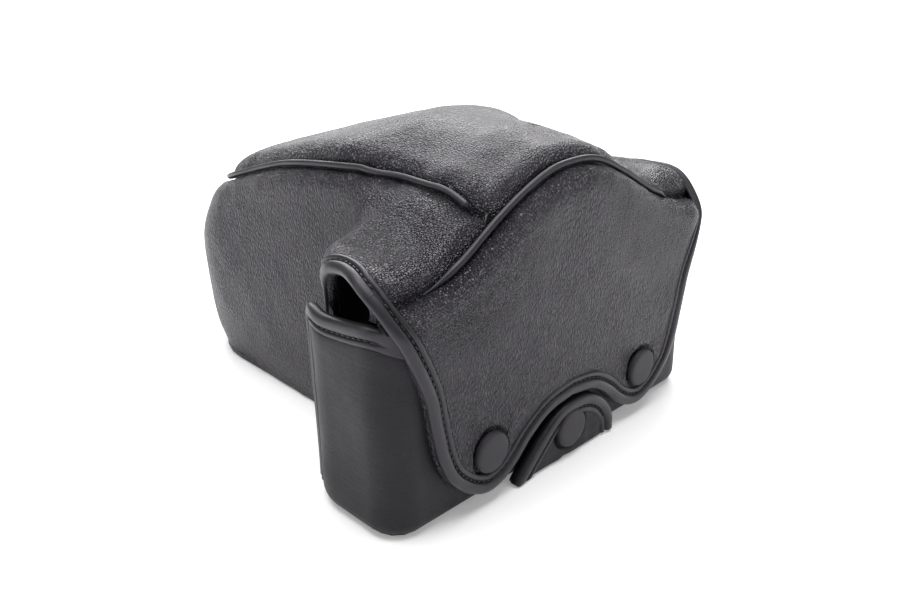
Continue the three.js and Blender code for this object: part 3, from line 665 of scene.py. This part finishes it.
BACK_SEAM_US, FRONT_SEAM_US = seam_curves()
BACK_SEAM_CURVE = COVER.at(BACK_SEAM_US[:, 0], BACK_SEAM_US[:, 1])
FRONT_SEAM_CURVE = COVER.at(FRONT_SEAM_US[:, 0], FRONT_SEAM_US[:, 1])

# ---------- the relief of the leather


def rows_at_bounds(low, high):
    """Stations close together by each of two bounds, squeezed where the bounds nearly meet."""
    squeeze = np.minimum(1, (high - low) / (2.4 * ROWS_BY_SEAM[-1]))[:, None]
    start = low[:, None] + ROWS_BY_SEAM * squeeze
    end = high[:, None] - ROWS_BY_SEAM[::-1] * squeeze
    return start, end


def panel_rows(low, high, middle):
    """Stations between two bounds, close together by both of them."""
    start, end = rows_at_bounds(low, high)
    t = np.linspace(0, 1, middle + 2)[1:-1]
    return np.concatenate([start, mix(start[:, -1:], end[:, :1], t), end], axis=1)


def split_rows(low, high, below, above):
    """Rows that meet at one level on all meridians, so that a step in the edge doesn't shear them."""
    split = np.minimum(np.maximum(SPLIT_LEVEL, low + SPLIT_MARGIN), high - SPLIT_MARGIN)
    split = np.where(split < low + SPLIT_MARGIN, 0.5 * (low + high), split)[:, None]
    start, end = rows_at_bounds(low, high)
    rising = mix(start[:, -1:], split, np.linspace(0, 1, below + 1)[1:])
    closing = mix(split, end[:, :1], np.linspace(0, 1, above + 1)[1:-1])
    return np.concatenate([start, rising, closing, end], axis=1)


def edge_relief(near_edge, swell):
    """Leather lies under its binding, then swells beside it."""
    seat = -BINDING_SEAT * smoothstep(*BINDING_SEAT_EDGES, near_edge)
    return seat + swell * bell(near_edge - 9.5, 3)


def cover_relief(points):
    """The leather dips into its seams, swells beside them and puckers a little."""
    near = np.minimum(distance_to(points, BACK_SEAM_CURVE), distance_to(points, FRONT_SEAM_CURVE))
    valley = -2.2 * bell(near, 1.5) - 0.9 * bell(near, 3.8)
    swell = 0.5 * bell(near - 7.5, 4.5)
    puckers = 0.3 * waves(points, 8, 11) * bell(near - 1, 5) + 0.1 * waves(points, 10, 12)
    return valley + swell + puckers + edge_relief(distance_to(points, EDGE_CURVE), swell=0.3)


def raised(points, relief):
    """A grid of points moved along its own normals."""
    return points + grid_normals(points) * relief[..., None]


def snap_relief(points, places):
    """A shallow seat round each snap, with faint creases beside it."""
    relief = np.zeros(points.shape[:-1])
    for x, z in places:
        away = np.hypot(points[..., 0] - x, points[..., 2] - z)
        relief += -1.6 * smoothstep(8.3, 7.0, away)
        relief += 0.16 * waves(points, 4.5, 21) * bell(away - 10, 3)
    return relief


def add_gloss(obj):
    """Marks where the leather is stretched shiny: the shoulders by the seams' junctions."""
    points = np.array([v.co for v in obj.data.vertices]) / MM
    gloss = np.zeros(len(points))
    for side in (1, -1):
        from_place = points - np.multiply(GLOSS_PLACE, (side, 1, 1))
        away = np.linalg.norm(from_place * GLOSS_STRETCH, axis=1)
        gloss = np.maximum(gloss, smoothstep(*GLOSS_FADE, away))
    attribute = obj.data.attributes.new("gloss", "FLOAT", "POINT")
    attribute.data.foreach_set("value", gloss.astype(np.float32))


# ---------- materials


# Black leather's reflections are tinged a little violet.
VIOLET = (1.0, 0.95, 1.06, 1.0)


class Nodes:
    """A short way to write a material's node tree."""

    def __init__(self, name):
        self.material = bpy.data.materials.new(name)
        self.material.use_nodes = True
        self.tree = self.material.node_tree
        self.shader = self.tree.nodes["Principled BSDF"]

    def add(self, kind, values, **settings):
        """A new node; values are for its sockets, as numbers or links, and settings for itself."""
        node = self.tree.nodes.new(kind)
        for key, value in settings.items():
            setattr(node, key, value)
        for key, value in values.items():
            self.set(node, key, value)
        return node

    def set(self, node, key, value):
        socket = node.inputs[key]
        if isinstance(value, bpy.types.NodeSocket):
            self.tree.links.new(value, socket)
        else:
            socket.default_value = value

    def place(self):
        return self.add("ShaderNodeTexCoord", {}).outputs["Object"]

    def coordinates(self, scale):
        values = {"Vector": self.place(), "Scale": scale}
        return self.add("ShaderNodeMapping", values).outputs[0]

    def noise(self, scale, stretch=(1, 1, 1), detail=3.0, roughness=0.55):
        vector = self.coordinates(stretch)
        values = {"Vector": vector, "Scale": scale, "Detail": detail, "Roughness": roughness}
        return self.add("ShaderNodeTexNoise", values).outputs["Fac"]

    def cells(self, scale, wobble, stretch=(1, 1, 1)):
        """Pebbles, from 0 in the creases between them to 1 on top; wobble bends their outlines."""
        vector = self.coordinates(stretch)
        bend = self.add("ShaderNodeTexNoise", {"Vector": vector, "Scale": scale * 0.5, "Detail": 2.0})
        bent = self.vector_math("SCALE", {0: bend.outputs["Color"], "Scale": wobble})
        moved = self.vector_math("ADD", {0: vector, 1: bent.outputs[0]})
        values = {"Vector": moved.outputs[0], "Scale": scale}
        node = self.add("ShaderNodeTexVoronoi", values, feature="DISTANCE_TO_EDGE")
        return self.ranged(node.outputs["Distance"], 0.0, 0.32, 0.0, 1.0)

    def ranged(self, value, low, high, to_low, to_high):
        values = {"Value": value, "From Min": low, "From Max": high, "To Min": to_low, "To Max": to_high}
        return self.add("ShaderNodeMapRange", values).outputs[0]

    def vector_math(self, operation, values):
        return self.add("ShaderNodeVectorMath", values, operation=operation)

    def math(self, operation, a, b):
        return self.add("ShaderNodeMath", {0: a, 1: b}, operation=operation).outputs[0]

    def blended(self, factor, a, b):
        return self.add("ShaderNodeMix", {"Factor": factor, 2: a, 3: b}).outputs[0]

    def attribute(self, name):
        return self.add("ShaderNodeAttribute", {}, attribute_name=name).outputs["Fac"]

    def bump(self, height, distance, strength, onto=None):
        values = {"Height": height, "Distance": distance, "Strength": strength}
        if onto is not None:
            values["Normal"] = onto
        return self.add("ShaderNodeBump", values).outputs[0]

    def colour(self, factor, dark, light):
        ramp = self.add("ShaderNodeValToRGB", {"Fac": factor})
        ramp.color_ramp.elements[0].color = (*dark, 1)
        ramp.color_ramp.elements[1].color = (*light, 1)
        return ramp.outputs[0]

    def finish(self, colour, roughness, normal=None, **fixed):
        """Joins up the shader; fixed sockets are named as in specular_tint."""
        self.set(self.shader, "Base Color", colour)
        self.set(self.shader, "Roughness", roughness)
        if normal is not None:
            self.set(self.shader, "Normal", normal)
        for key, value in fixed.items():
            socket = key.replace("_", " ").title().replace("Ior", "IOR")
            self.shader.inputs[socket].default_value = value
        return self.material


def grained_leather():
    """Black cowhide: fine pebbles, drawn upright and wrinkled on the walls, shiny at the shoulders."""
    n = Nodes("grained_leather")
    pebbles = n.cells(1200, wobble=0.0006)
    drawn = n.cells(1150, stretch=(1, 1, 0.4), wobble=0.0009)
    wrinkles = n.noise(760, stretch=(1, 1, 0.25), detail=3.0)
    slow = n.noise(60, detail=2.0)
    gloss = n.attribute("gloss")
    grain = n.blended(n.ranged(gloss, 0.0, 0.6, 0.0, 1.0), drawn, pebbles)
    soft = n.bump(wrinkles, 0.0006, 0.7)
    normal = n.bump(grain, 0.00042, 1.0, onto=soft)
    # Painted shade: the colour is darker in the creases between the pebbles; the slow noise varies the
    # tone at random.
    crease_shade_and_tone = n.math("MULTIPLY", grain, n.ranged(slow, 0.3, 0.7, 0.8, 1.15))
    colour = n.colour(crease_shade_and_tone, (0.0050, 0.0046, 0.0058), (0.0270, 0.0252, 0.0298))
    dulness = n.math("SUBTRACT", slow, n.math("MULTIPLY", gloss, 0.6))
    roughness = n.ranged(dulness, -0.2, 0.7, 0.24, 0.43)
    return n.finish(colour, roughness, normal, specular_ior_level=0.45, specular_tint=VIOLET)


def base_leather():
    """The base's thinner, smoother leather, with a faint level grain."""
    n = Nodes("base_leather")
    pores = n.cells(1900, wobble=0.0005)
    level = n.noise(900, stretch=(0.12, 0.12, 1), detail=3.0)
    slow = n.noise(45, detail=2.0)
    normal = n.bump(pores, 0.0001, 0.45, onto=n.bump(level, 0.0003, 0.35))
    # Painted shade: the colour is darker in the creases between the pores; the slow noise varies the tone
    # at random.
    crease_shade_and_tone = n.math("MULTIPLY", pores, slow)
    colour = n.colour(crease_shade_and_tone, (0.0065, 0.0062, 0.0072), (0.0180, 0.0172, 0.0192))
    roughness = n.ranged(slow, 0.3, 0.7, 0.40, 0.52)
    return n.finish(colour, roughness, normal, specular_ior_level=0.24, specular_tint=VIOLET)


def binding_leather():
    n = Nodes("binding_leather")
    slow = n.noise(110, detail=3.0)
    fine = n.noise(2600, detail=2.0)
    normal = n.bump(fine, 0.0001, 0.3, onto=n.bump(slow, 0.0008, 0.25))
    colour = n.colour(slow, (0.0125, 0.0120, 0.0135), (0.0215, 0.0207, 0.0232))
    roughness = n.ranged(slow, 0.3, 0.7, 0.34, 0.48)
    return n.finish(colour, roughness, normal, specular_ior_level=0.38, specular_tint=VIOLET)


def cap_coating():
    n = Nodes("cap_coating")
    fine = n.noise(3800, detail=2.0)
    slow = n.noise(160, detail=2.0)
    colour = n.colour(slow, (0.0260, 0.0248, 0.0278), (0.0340, 0.0325, 0.0360))
    roughness = n.ranged(slow, 0.3, 0.7, 0.50, 0.62)
    normal = n.bump(fine, 0.00006, 0.5)
    return n.finish(colour, roughness, normal, specular_ior_level=0.30, specular_tint=VIOLET)


def flock():
    n = Nodes("flock")
    fuzz = n.noise(2400, detail=4.0)
    colour = n.colour(fuzz, (0.003, 0.003, 0.003), (0.010, 0.0095, 0.010))
    return n.finish(colour, 0.95, n.bump(fuzz, 0.0004, 0.6), sheen_weight=0.15)


def thread():
    n = Nodes("thread")
    twist = n.noise(5200, stretch=(1, 1, 0.4), detail=1.0)
    colour = n.colour(twist, (0.006, 0.006, 0.006), (0.020, 0.019, 0.020))
    return n.finish(colour, 0.42, n.bump(twist, 0.0001, 0.6))


def plated_metal():
    n = Nodes("plated_metal")
    smudge = n.noise(500, detail=3.0)
    colour = n.colour(smudge, (0.42, 0.40, 0.36), (0.56, 0.54, 0.50))
    return n.finish(colour, n.ranged(smudge, 0.3, 0.7, 0.24, 0.40), metallic=1.0)


def turned_steel():
    n = Nodes("turned_steel")
    rings = n.noise(900, stretch=(1, 1, 6), detail=2.0)
    colour = n.colour(rings, (0.40, 0.40, 0.40), (0.52, 0.52, 0.52))
    roughness = n.ranged(rings, 0.3, 0.7, 0.28, 0.42)
    return n.finish(colour, roughness, n.bump(rings, 0.00005, 0.3), metallic=1.0)


def fibre_board():
    n = Nodes("fibre_board")
    fibres = n.noise(700, stretch=(1, 0.2, 1), detail=5.0)
    colour = n.colour(fibres, (0.030, 0.020, 0.013), (0.070, 0.048, 0.032))
    return n.finish(colour, 0.9, n.bump(fibres, 0.0003, 0.5))


def floor_paper():
    """White paper that glows more with distance, so that its far edge doesn't show."""
    n = Nodes("floor_paper")
    fibres = n.noise(300, detail=2.0)
    colour = n.colour(fibres, (0.90, 0.90, 0.90), (0.93, 0.93, 0.93))
    away = n.vector_math("LENGTH", {0: n.place()}).outputs["Value"]
    n.set(n.shader, "Emission Strength", n.ranged(away, 0.25, 1.2, 0.22, 1.0))
    return n.finish(colour, 0.8, emission_color=(1, 1, 1, 1))


# ---------- pieces of the cover


def side_panel(leather, lining):
    """Both ends and the nose in one strip, from one junction with the back seam to the other."""
    u = np.linspace(T_JUNCTION_U, ROUND - T_JUNCTION_U, 420)
    edge, back, front = seam_heights(u)
    low = np.maximum(edge, back)
    s = split_rows(low, np.maximum(front, low + 0.05), below=34, above=22)
    points = COVER.at(u[:, None], s)
    points = raised(points, cover_relief(points))
    obj = sheet_object("cover_side_leather", points, [leather, lining], PANEL_THICKNESS)
    add_gloss(obj)
    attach(obj, "cover")
    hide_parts("side_panel", "cover_lining")


def top_panel(leather, lining):
    """The top, from the front and back seams to a little past each meridian's end on the ridge."""
    u = np.linspace(0, ROUND, 420, endpoint=False)
    _, back, front = seam_heights(u)
    low = np.maximum(front, back)
    start = low[:, None] + ROWS_BY_SEAM
    high = COVER.top_of(u)[:, None] + 2.0
    rising = mix(start[:, -1:], high, np.linspace(0, 1, 34)[None, 1:])
    s = np.concatenate([start, rising], axis=1)
    points = COVER.at(u[:, None], s)
    points = points + COVER.normal(u[:, None], s) * cover_relief(points)[..., None]
    rows, columns = points.shape[:2]
    faces = grid_faces(rows, columns, close_rows=True)
    obj = new_object("cover_top_leather", points, faces, [leather, lining])
    edit_mesh(obj, weld_ridge)
    thicken(obj, PANEL_THICKNESS)
    add_gloss(obj)
    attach(obj, "cover")
    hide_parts("top_panel")


def blend_at_fold(obj):
    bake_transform(obj)


def back_panel(leather, lining):
    """The back in one piece: the yoke above the fold and the flap below it."""
    u = np.linspace(-BACK_SEAM_END_U, BACK_SEAM_END_U, 190)
    edge, back, _ = seam_heights(u)
    s = panel_rows(edge, np.maximum(back, edge + 0.05), middle=60)
    points = COVER.at(u[:, None], s)
    points = raised(points, cover_relief(points) + snap_relief(points, SNAP_PLACES))
    obj = sheet_object("back_leather", points, [leather, lining], PANEL_THICKNESS)
    add_gloss(obj)
    blend_at_fold(obj)
    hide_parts("back_yoke", "flap_panel", "flap_lining")


def binding_sections(edge, place, side, fullness):
    """The binding's section at each point of an edge; place(a, b, proud) gives a point in space."""
    sections = []
    for inset, height in BINDING_PROFILE:
        moved = shifted(edge, side * inset)
        proud = height * np.where(height > -0.6, fullness, 1.0)
        sections.append(place(moved[:, 0], moved[:, 1], proud))
    return np.stack(sections, axis=1)


def stitch_row(name, path, normals, material):
    """Short stitches lying along a path."""
    lengths = lengths_along(path)
    middles = np.arange(STITCH_PITCH, lengths[-1] - STITCH_PITCH, STITCH_PITCH)

    def on_path(values, stations):
        return np.stack([np.interp(stations, lengths, values[:, k]) for k in range(3)], axis=-1)

    stations = middles[:, None] + STITCH_STATIONS
    centres = on_path(path, stations)
    along = unit(on_path(path, stations + 0.2) - on_path(path, stations - 0.2))
    up = unit(on_path(normals, stations))
    ring = circles(unit(np.cross(along, up)), up, STITCH_SIDES)
    points = centres[:, :, None, :] + ring * STITCH_RADII[None, :, None, None]
    rings = len(STITCH_STATIONS)
    per_stitch = rings * STITCH_SIDES
    faces = []
    for i in range(len(middles)):
        first = i * per_stitch
        faces += grid_faces(rings, STITCH_SIDES, close_columns=True, first=first).tolist()
        faces.append([first + k for k in range(STITCH_SIDES)])
        faces.append([first + per_stitch - 1 - k for k in range(STITCH_SIDES)])
    obj = new_object(name, points, faces, [material])
    edit_mesh(obj, face_outwards)
    return obj


def stitches_along(name, edge, place, side, material):
    """A row of stitches in the groove of an edge's binding."""
    inner = shifted(edge, side * STITCH_INSET)
    inner = resampled(inner, 0.6)
    path = place(inner[:, 0], inner[:, 1], np.full(len(inner), -0.12))
    above = place(inner[:, 0], inner[:, 1], np.full(len(inner), 0.6))
    return stitch_row(name, path, unit(above - path), material)


def cover_bindings(leather, stitch):
    """One strip over each strap arch, and one round the flap."""
    fullness = 1 - 0.75 * smoothstep(103, 108, np.abs(EDGE_WAYS))
    runs = [
        ("near_arch", EDGE_WAYS >= BINDING_SPLIT_WAY, "arch_binding_left"),
        ("far_arch", EDGE_WAYS <= -BINDING_SPLIT_WAY, "arch_binding_right"),
        ("flap", np.abs(EDGE_WAYS) <= BINDING_SPLIT_WAY + 0.5, "flap_binding"),
    ]
    for name, chosen, node in runs:
        edge = EDGE_US[chosen]
        sections = binding_sections(edge, COVER.at, 1, fullness[chosen])
        strip = swept_object(f"{name}_binding_strip", sections, leather)
        stitches = stitches_along(f"{name}_stitches", edge, COVER.at, 1, stitch)
        for obj in (strip, stitches):
            if name == "flap":
                blend_at_fold(obj)
            else:
                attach(obj, "cover")
        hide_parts(node)


def piping(name, seam_us, end_gap, taper, leather, node):
    """A round welt in a seam, tapering and sinking towards its tips."""
    path_us = resampled(seam_us, 0.7)
    lengths = lengths_along(path_us)
    kept = (lengths > end_gap) & (lengths < lengths[-1] - end_gap)
    path_us, lengths = path_us[kept], lengths[kept]
    from_end = np.minimum(lengths - lengths[0], lengths[-1] - lengths)
    size = smoothstep(0, taper, from_end)
    proud = mix(PIPING_TIP_PROUD, PIPING_PROUD, size)
    path = COVER.at(path_us[:, 0], path_us[:, 1], proud)
    normals = COVER.normal(path_us[:, 0], path_us[:, 1])
    along = unit(np.gradient(path, axis=0))
    across = unit(np.cross(along, normals))
    up = np.cross(across, along)
    radius = mix(PIPING_TIP_RADIUS, PIPING_RADIUS, size)[:, None, None]
    sections = path[:, None, :] + circles(across, up, sides=14) * radius
    obj = swept_object(name, sections, leather)
    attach(obj, "cover")
    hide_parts(node)


def make_cover(looks):
    side_panel(looks["grained"], looks["flock"])
    top_panel(looks["grained"], looks["flock"])
    back_panel(looks["grained"], looks["flock"])
    cover_bindings(looks["binding"], looks["thread"])
    piping("front_welt", FRONT_SEAM_US, 8.0, 8.0, looks["binding"], "front_piping")
    piping("back_welt", BACK_SEAM_US, 19.0, 12.0, looks["binding"], "back_piping")


# ---------- pieces of the base

RIM_EDGE = both_halves(BASE_RIM, 0.8)


def rim_height(way):
    half = RIM_EDGE[RIM_EDGE[:, 0] >= 0]
    return np.interp(np.abs(way), half[:, 0], half[:, 1])


def base_wall_sheet(leather, lining):
    """The wall of the base, turned in under its foot."""
    way = np.linspace(-WALL_END_WAY, WALL_END_WAY, 260)
    top = rim_height(way) - 0.4
    rows = 46
    t = np.linspace(0, 1, rows)[None, :]
    height = mix(WALL_FOOT, np.maximum(top, WALL_FOOT + 0.4)[:, None], 1 - (1 - t) ** 1.4)
    ways = way[:, None] * np.ones((1, rows))
    wall = base_at(ways, height)
    relief = edge_relief(distance_to(wall, base_at(RIM_EDGE[:, 0], RIM_EDGE[:, 1])), swell=0.2)
    relief += 0.3 * waves(wall, 38, 31) + 0.06 * waves(wall, 9, 32)
    proud = relief * smoothstep(0, 8, height - WALL_FOOT)
    wall = base_at(ways, height, proud)
    foot = []
    for angle in np.linspace(0, math.pi / 2, 9)[:-1]:
        foot_height = WALL_FOOT - FOOT_RADIUS * np.cos(angle) * np.ones(way.shape)
        foot.append(base_at(way, foot_height, -0.8 * FOOT_RADIUS * (1 - np.sin(angle))))
    under = base_at(way, np.full(way.shape, WALL_FOOT - FOOT_RADIUS), -4.3)
    points = np.concatenate([under[:, None], np.stack(foot, axis=1), wall], axis=1)
    obj = sheet_object("base_wall_leather", points, [leather, lining], LEATHER)
    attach(obj, "base")
    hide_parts("base_shell")


def base_binding(leather, stitch):
    """One strip round the whole rim; it is full, and stitched, only at the two ends."""
    fullness = smoothstep(69, 78, np.abs(RIM_EDGE[:, 0]))
    sections = binding_sections(RIM_EDGE, base_at, -1, fullness)
    strip = swept_object("rim_binding_strip", sections, leather)
    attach(strip, "base")
    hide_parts("base_rim_binding")
    for name, chosen in (("near", RIM_EDGE[:, 0] > 72), ("far", RIM_EDGE[:, 0] < -72)):
        stitches = stitches_along(f"{name}_rim_stitches", RIM_EDGE[chosen], base_at, -1, stitch)
        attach(stitches, "base")


def make_base(looks):
    base_wall_sheet(looks["base"], looks["flock"])
    base_binding(looks["binding"], looks["thread"])


# ---------- the tab and the snaps

TAB_RIM = smooth_curve(TAB_EDGE, 0.7)


def tab_place(way, height, proud):
    return base_at(way, height, np.asarray(proud) + COVER_STANDOFF)


def tab_panel(leather, lining):
    """The tab's leather, from its foot up to its asymmetric rim."""
    way = np.linspace(TAB_EDGE[0][0] + 0.8, TAB_EDGE[-1][0] - 0.8, 90)
    top = np.interp(way, TAB_RIM[:, 0], TAB_RIM[:, 1])
    rows = 30
    tops = np.maximum(top - 0.3, TAB_FOOT + 0.1)[:, None]
    height = mix(TAB_FOOT, tops, np.linspace(0, 1, rows)[None, :])
    ways = way[:, None] * np.ones((1, rows))
    flat = tab_place(ways, height, 0.0)
    near = distance_to(flat, tab_place(TAB_RIM[:, 0], TAB_RIM[:, 1], 0.0))
    relief = edge_relief(near, swell=0.0) + 0.15 * waves(flat, 9, 41)
    relief += snap_relief(flat, [(0, TAB_SNAP_HEIGHT)])
    points = tab_place(ways, height, relief)
    obj = sheet_object("tab_leather", points, [leather, lining], TAB_THICKNESS)
    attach(obj, "tab")
    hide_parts("tab_panel")


def tab_binding(leather, stitch):
    kept = TAB_RIM[TAB_RIM[:, 1] > TAB_FOOT]
    sections = binding_sections(kept, tab_place, -1, np.ones(len(kept)))
    sections[..., 2] = np.maximum(sections[..., 2], TAB_FOOT - 0.4)
    strip = swept_object("tab_binding_strip", sections, leather)
    stitched = kept[kept[:, 1] > 6.5]
    stitches = stitches_along("tab_stitches", stitched, tab_place, -1, stitch)
    for obj in (strip, stitches):
        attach(obj, "tab")
    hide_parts("tab_binding")


def snap_cap(name, x, z, body, coating):
    """A coated cap: a flat face with a rounded rim over an upright skirt."""
    leather_y = BASE_BACK + COVER_STANDOFF
    ring = circles(np.array([1, 0, 0]), np.array([0, 0, 1]), sides=72)
    sections = [(x, leather_y + height, z) + ring * radius for radius, height in SNAP_CAP_PROFILE]
    obj = swept_object(f"snap_cap_piece_{name}", np.stack(sections), coating)
    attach(obj, body)
    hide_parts(f"snap_cap_{name}")


def make_tab_and_snaps(looks):
    tab_panel(looks["base"], looks["flock"])
    tab_binding(looks["binding"], looks["thread"])
    snap_cap("left", SNAP_SPREAD, SNAP_HEIGHT, "flap", looks["cap"])
    snap_cap("right", -SNAP_SPREAD, SNAP_HEIGHT, "flap", looks["cap"])
    snap_cap("tab", 0, TAB_SNAP_HEIGHT, "tab", looks["cap"])


# ---------- carried-over nodes, stage and camera


def paint_carried_nodes(nodes, looks):
    """Gives the CAD nodes that stay in sight their materials."""
    kinds = {
        "base_lining": "flock", "base_board": "board", "sole": "base", "nose_floor": "grained",
        "tripod_screw": "steel", "screw_retaining_ring": "steel", "screw_grommet": "plated",
    }
    for name, obj in nodes.items():
        kind = kinds.get(name)
        if name.startswith(("snap_stud", "snap_washer", "snap_socket")):
            kind = "plated"
        if kind:
            obj.data.materials.clear()
            obj.data.materials.append(looks[kind])


def make_stage(paper):
    size = FLOOR_HALF_WIDTH
    corners = [(-size, -size, 0), (size, -size, 0), (size, size, 0), (-size, size, 0)]
    floor = new_object("paper_floor", corners, [[0, 1, 2, 3]], [paper])


def put_and_aim(obj, place, target):
    obj.location = place
    obj.rotation_euler = (Vector(target) - Vector(place)).to_track_quat("-Z", "Y").to_euler()
    bpy.context.scene.collection.objects.link(obj)


def area_light(name, place, size, power):
    data = bpy.data.lights.new(name, "AREA")
    data.shape = "RECTANGLE"
    data.size, data.size_y = size
    data.energy = power
    put_and_aim(bpy.data.objects.new(name, data), place, LIGHT_TARGET)


def make_lights():
    """The softboxes, in a world that is white to look at but lights the case only faintly."""
    world = bpy.data.worlds.new("studio")
    bpy.context.scene.world = world
    world.use_nodes = True
    tree = world.node_tree
    background = tree.nodes["Background"]
    background.inputs["Color"].default_value = (1, 1, 1, 1)
    path = tree.nodes.new("ShaderNodeLightPath")
    strength = tree.nodes.new("ShaderNodeMapRange")
    strength.inputs["To Min"].default_value = STUDIO_FILL
    strength.inputs["To Max"].default_value = 1.0
    tree.links.new(path.outputs["Is Camera Ray"], strength.inputs["Value"])
    tree.links.new(strength.outputs[0], background.inputs["Strength"])
    for name, place, size, power in SOFTBOXES:
        area_light(name, place, size, power)


def make_camera():
    data = bpy.data.cameras.new("camera")
    data.sensor_width = CAMERA_SENSOR
    data.lens = CAMERA_LENS
    data.clip_start = 0.01
    camera = bpy.data.objects.new("camera", data)
    put_and_aim(camera, CAMERA_PLACE, CAMERA_TARGET)
    bpy.context.scene.camera = camera


looks = {
    "grained": grained_leather(),
    "base": base_leather(),
    "binding": binding_leather(),
    "cap": cap_coating(),
    "flock": flock(),
    "thread": thread(),
    "plated": plated_metal(),
    "steel": turned_steel(),
    "board": fibre_board(),
}
make_camera()
make_lights()
make_stage(floor_paper())
make_cover(looks)
make_base(looks)
make_tab_and_snaps(looks)
paint_carried_nodes(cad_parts, looks)
bpy.context.scene.view_settings.view_transform = "Standard"
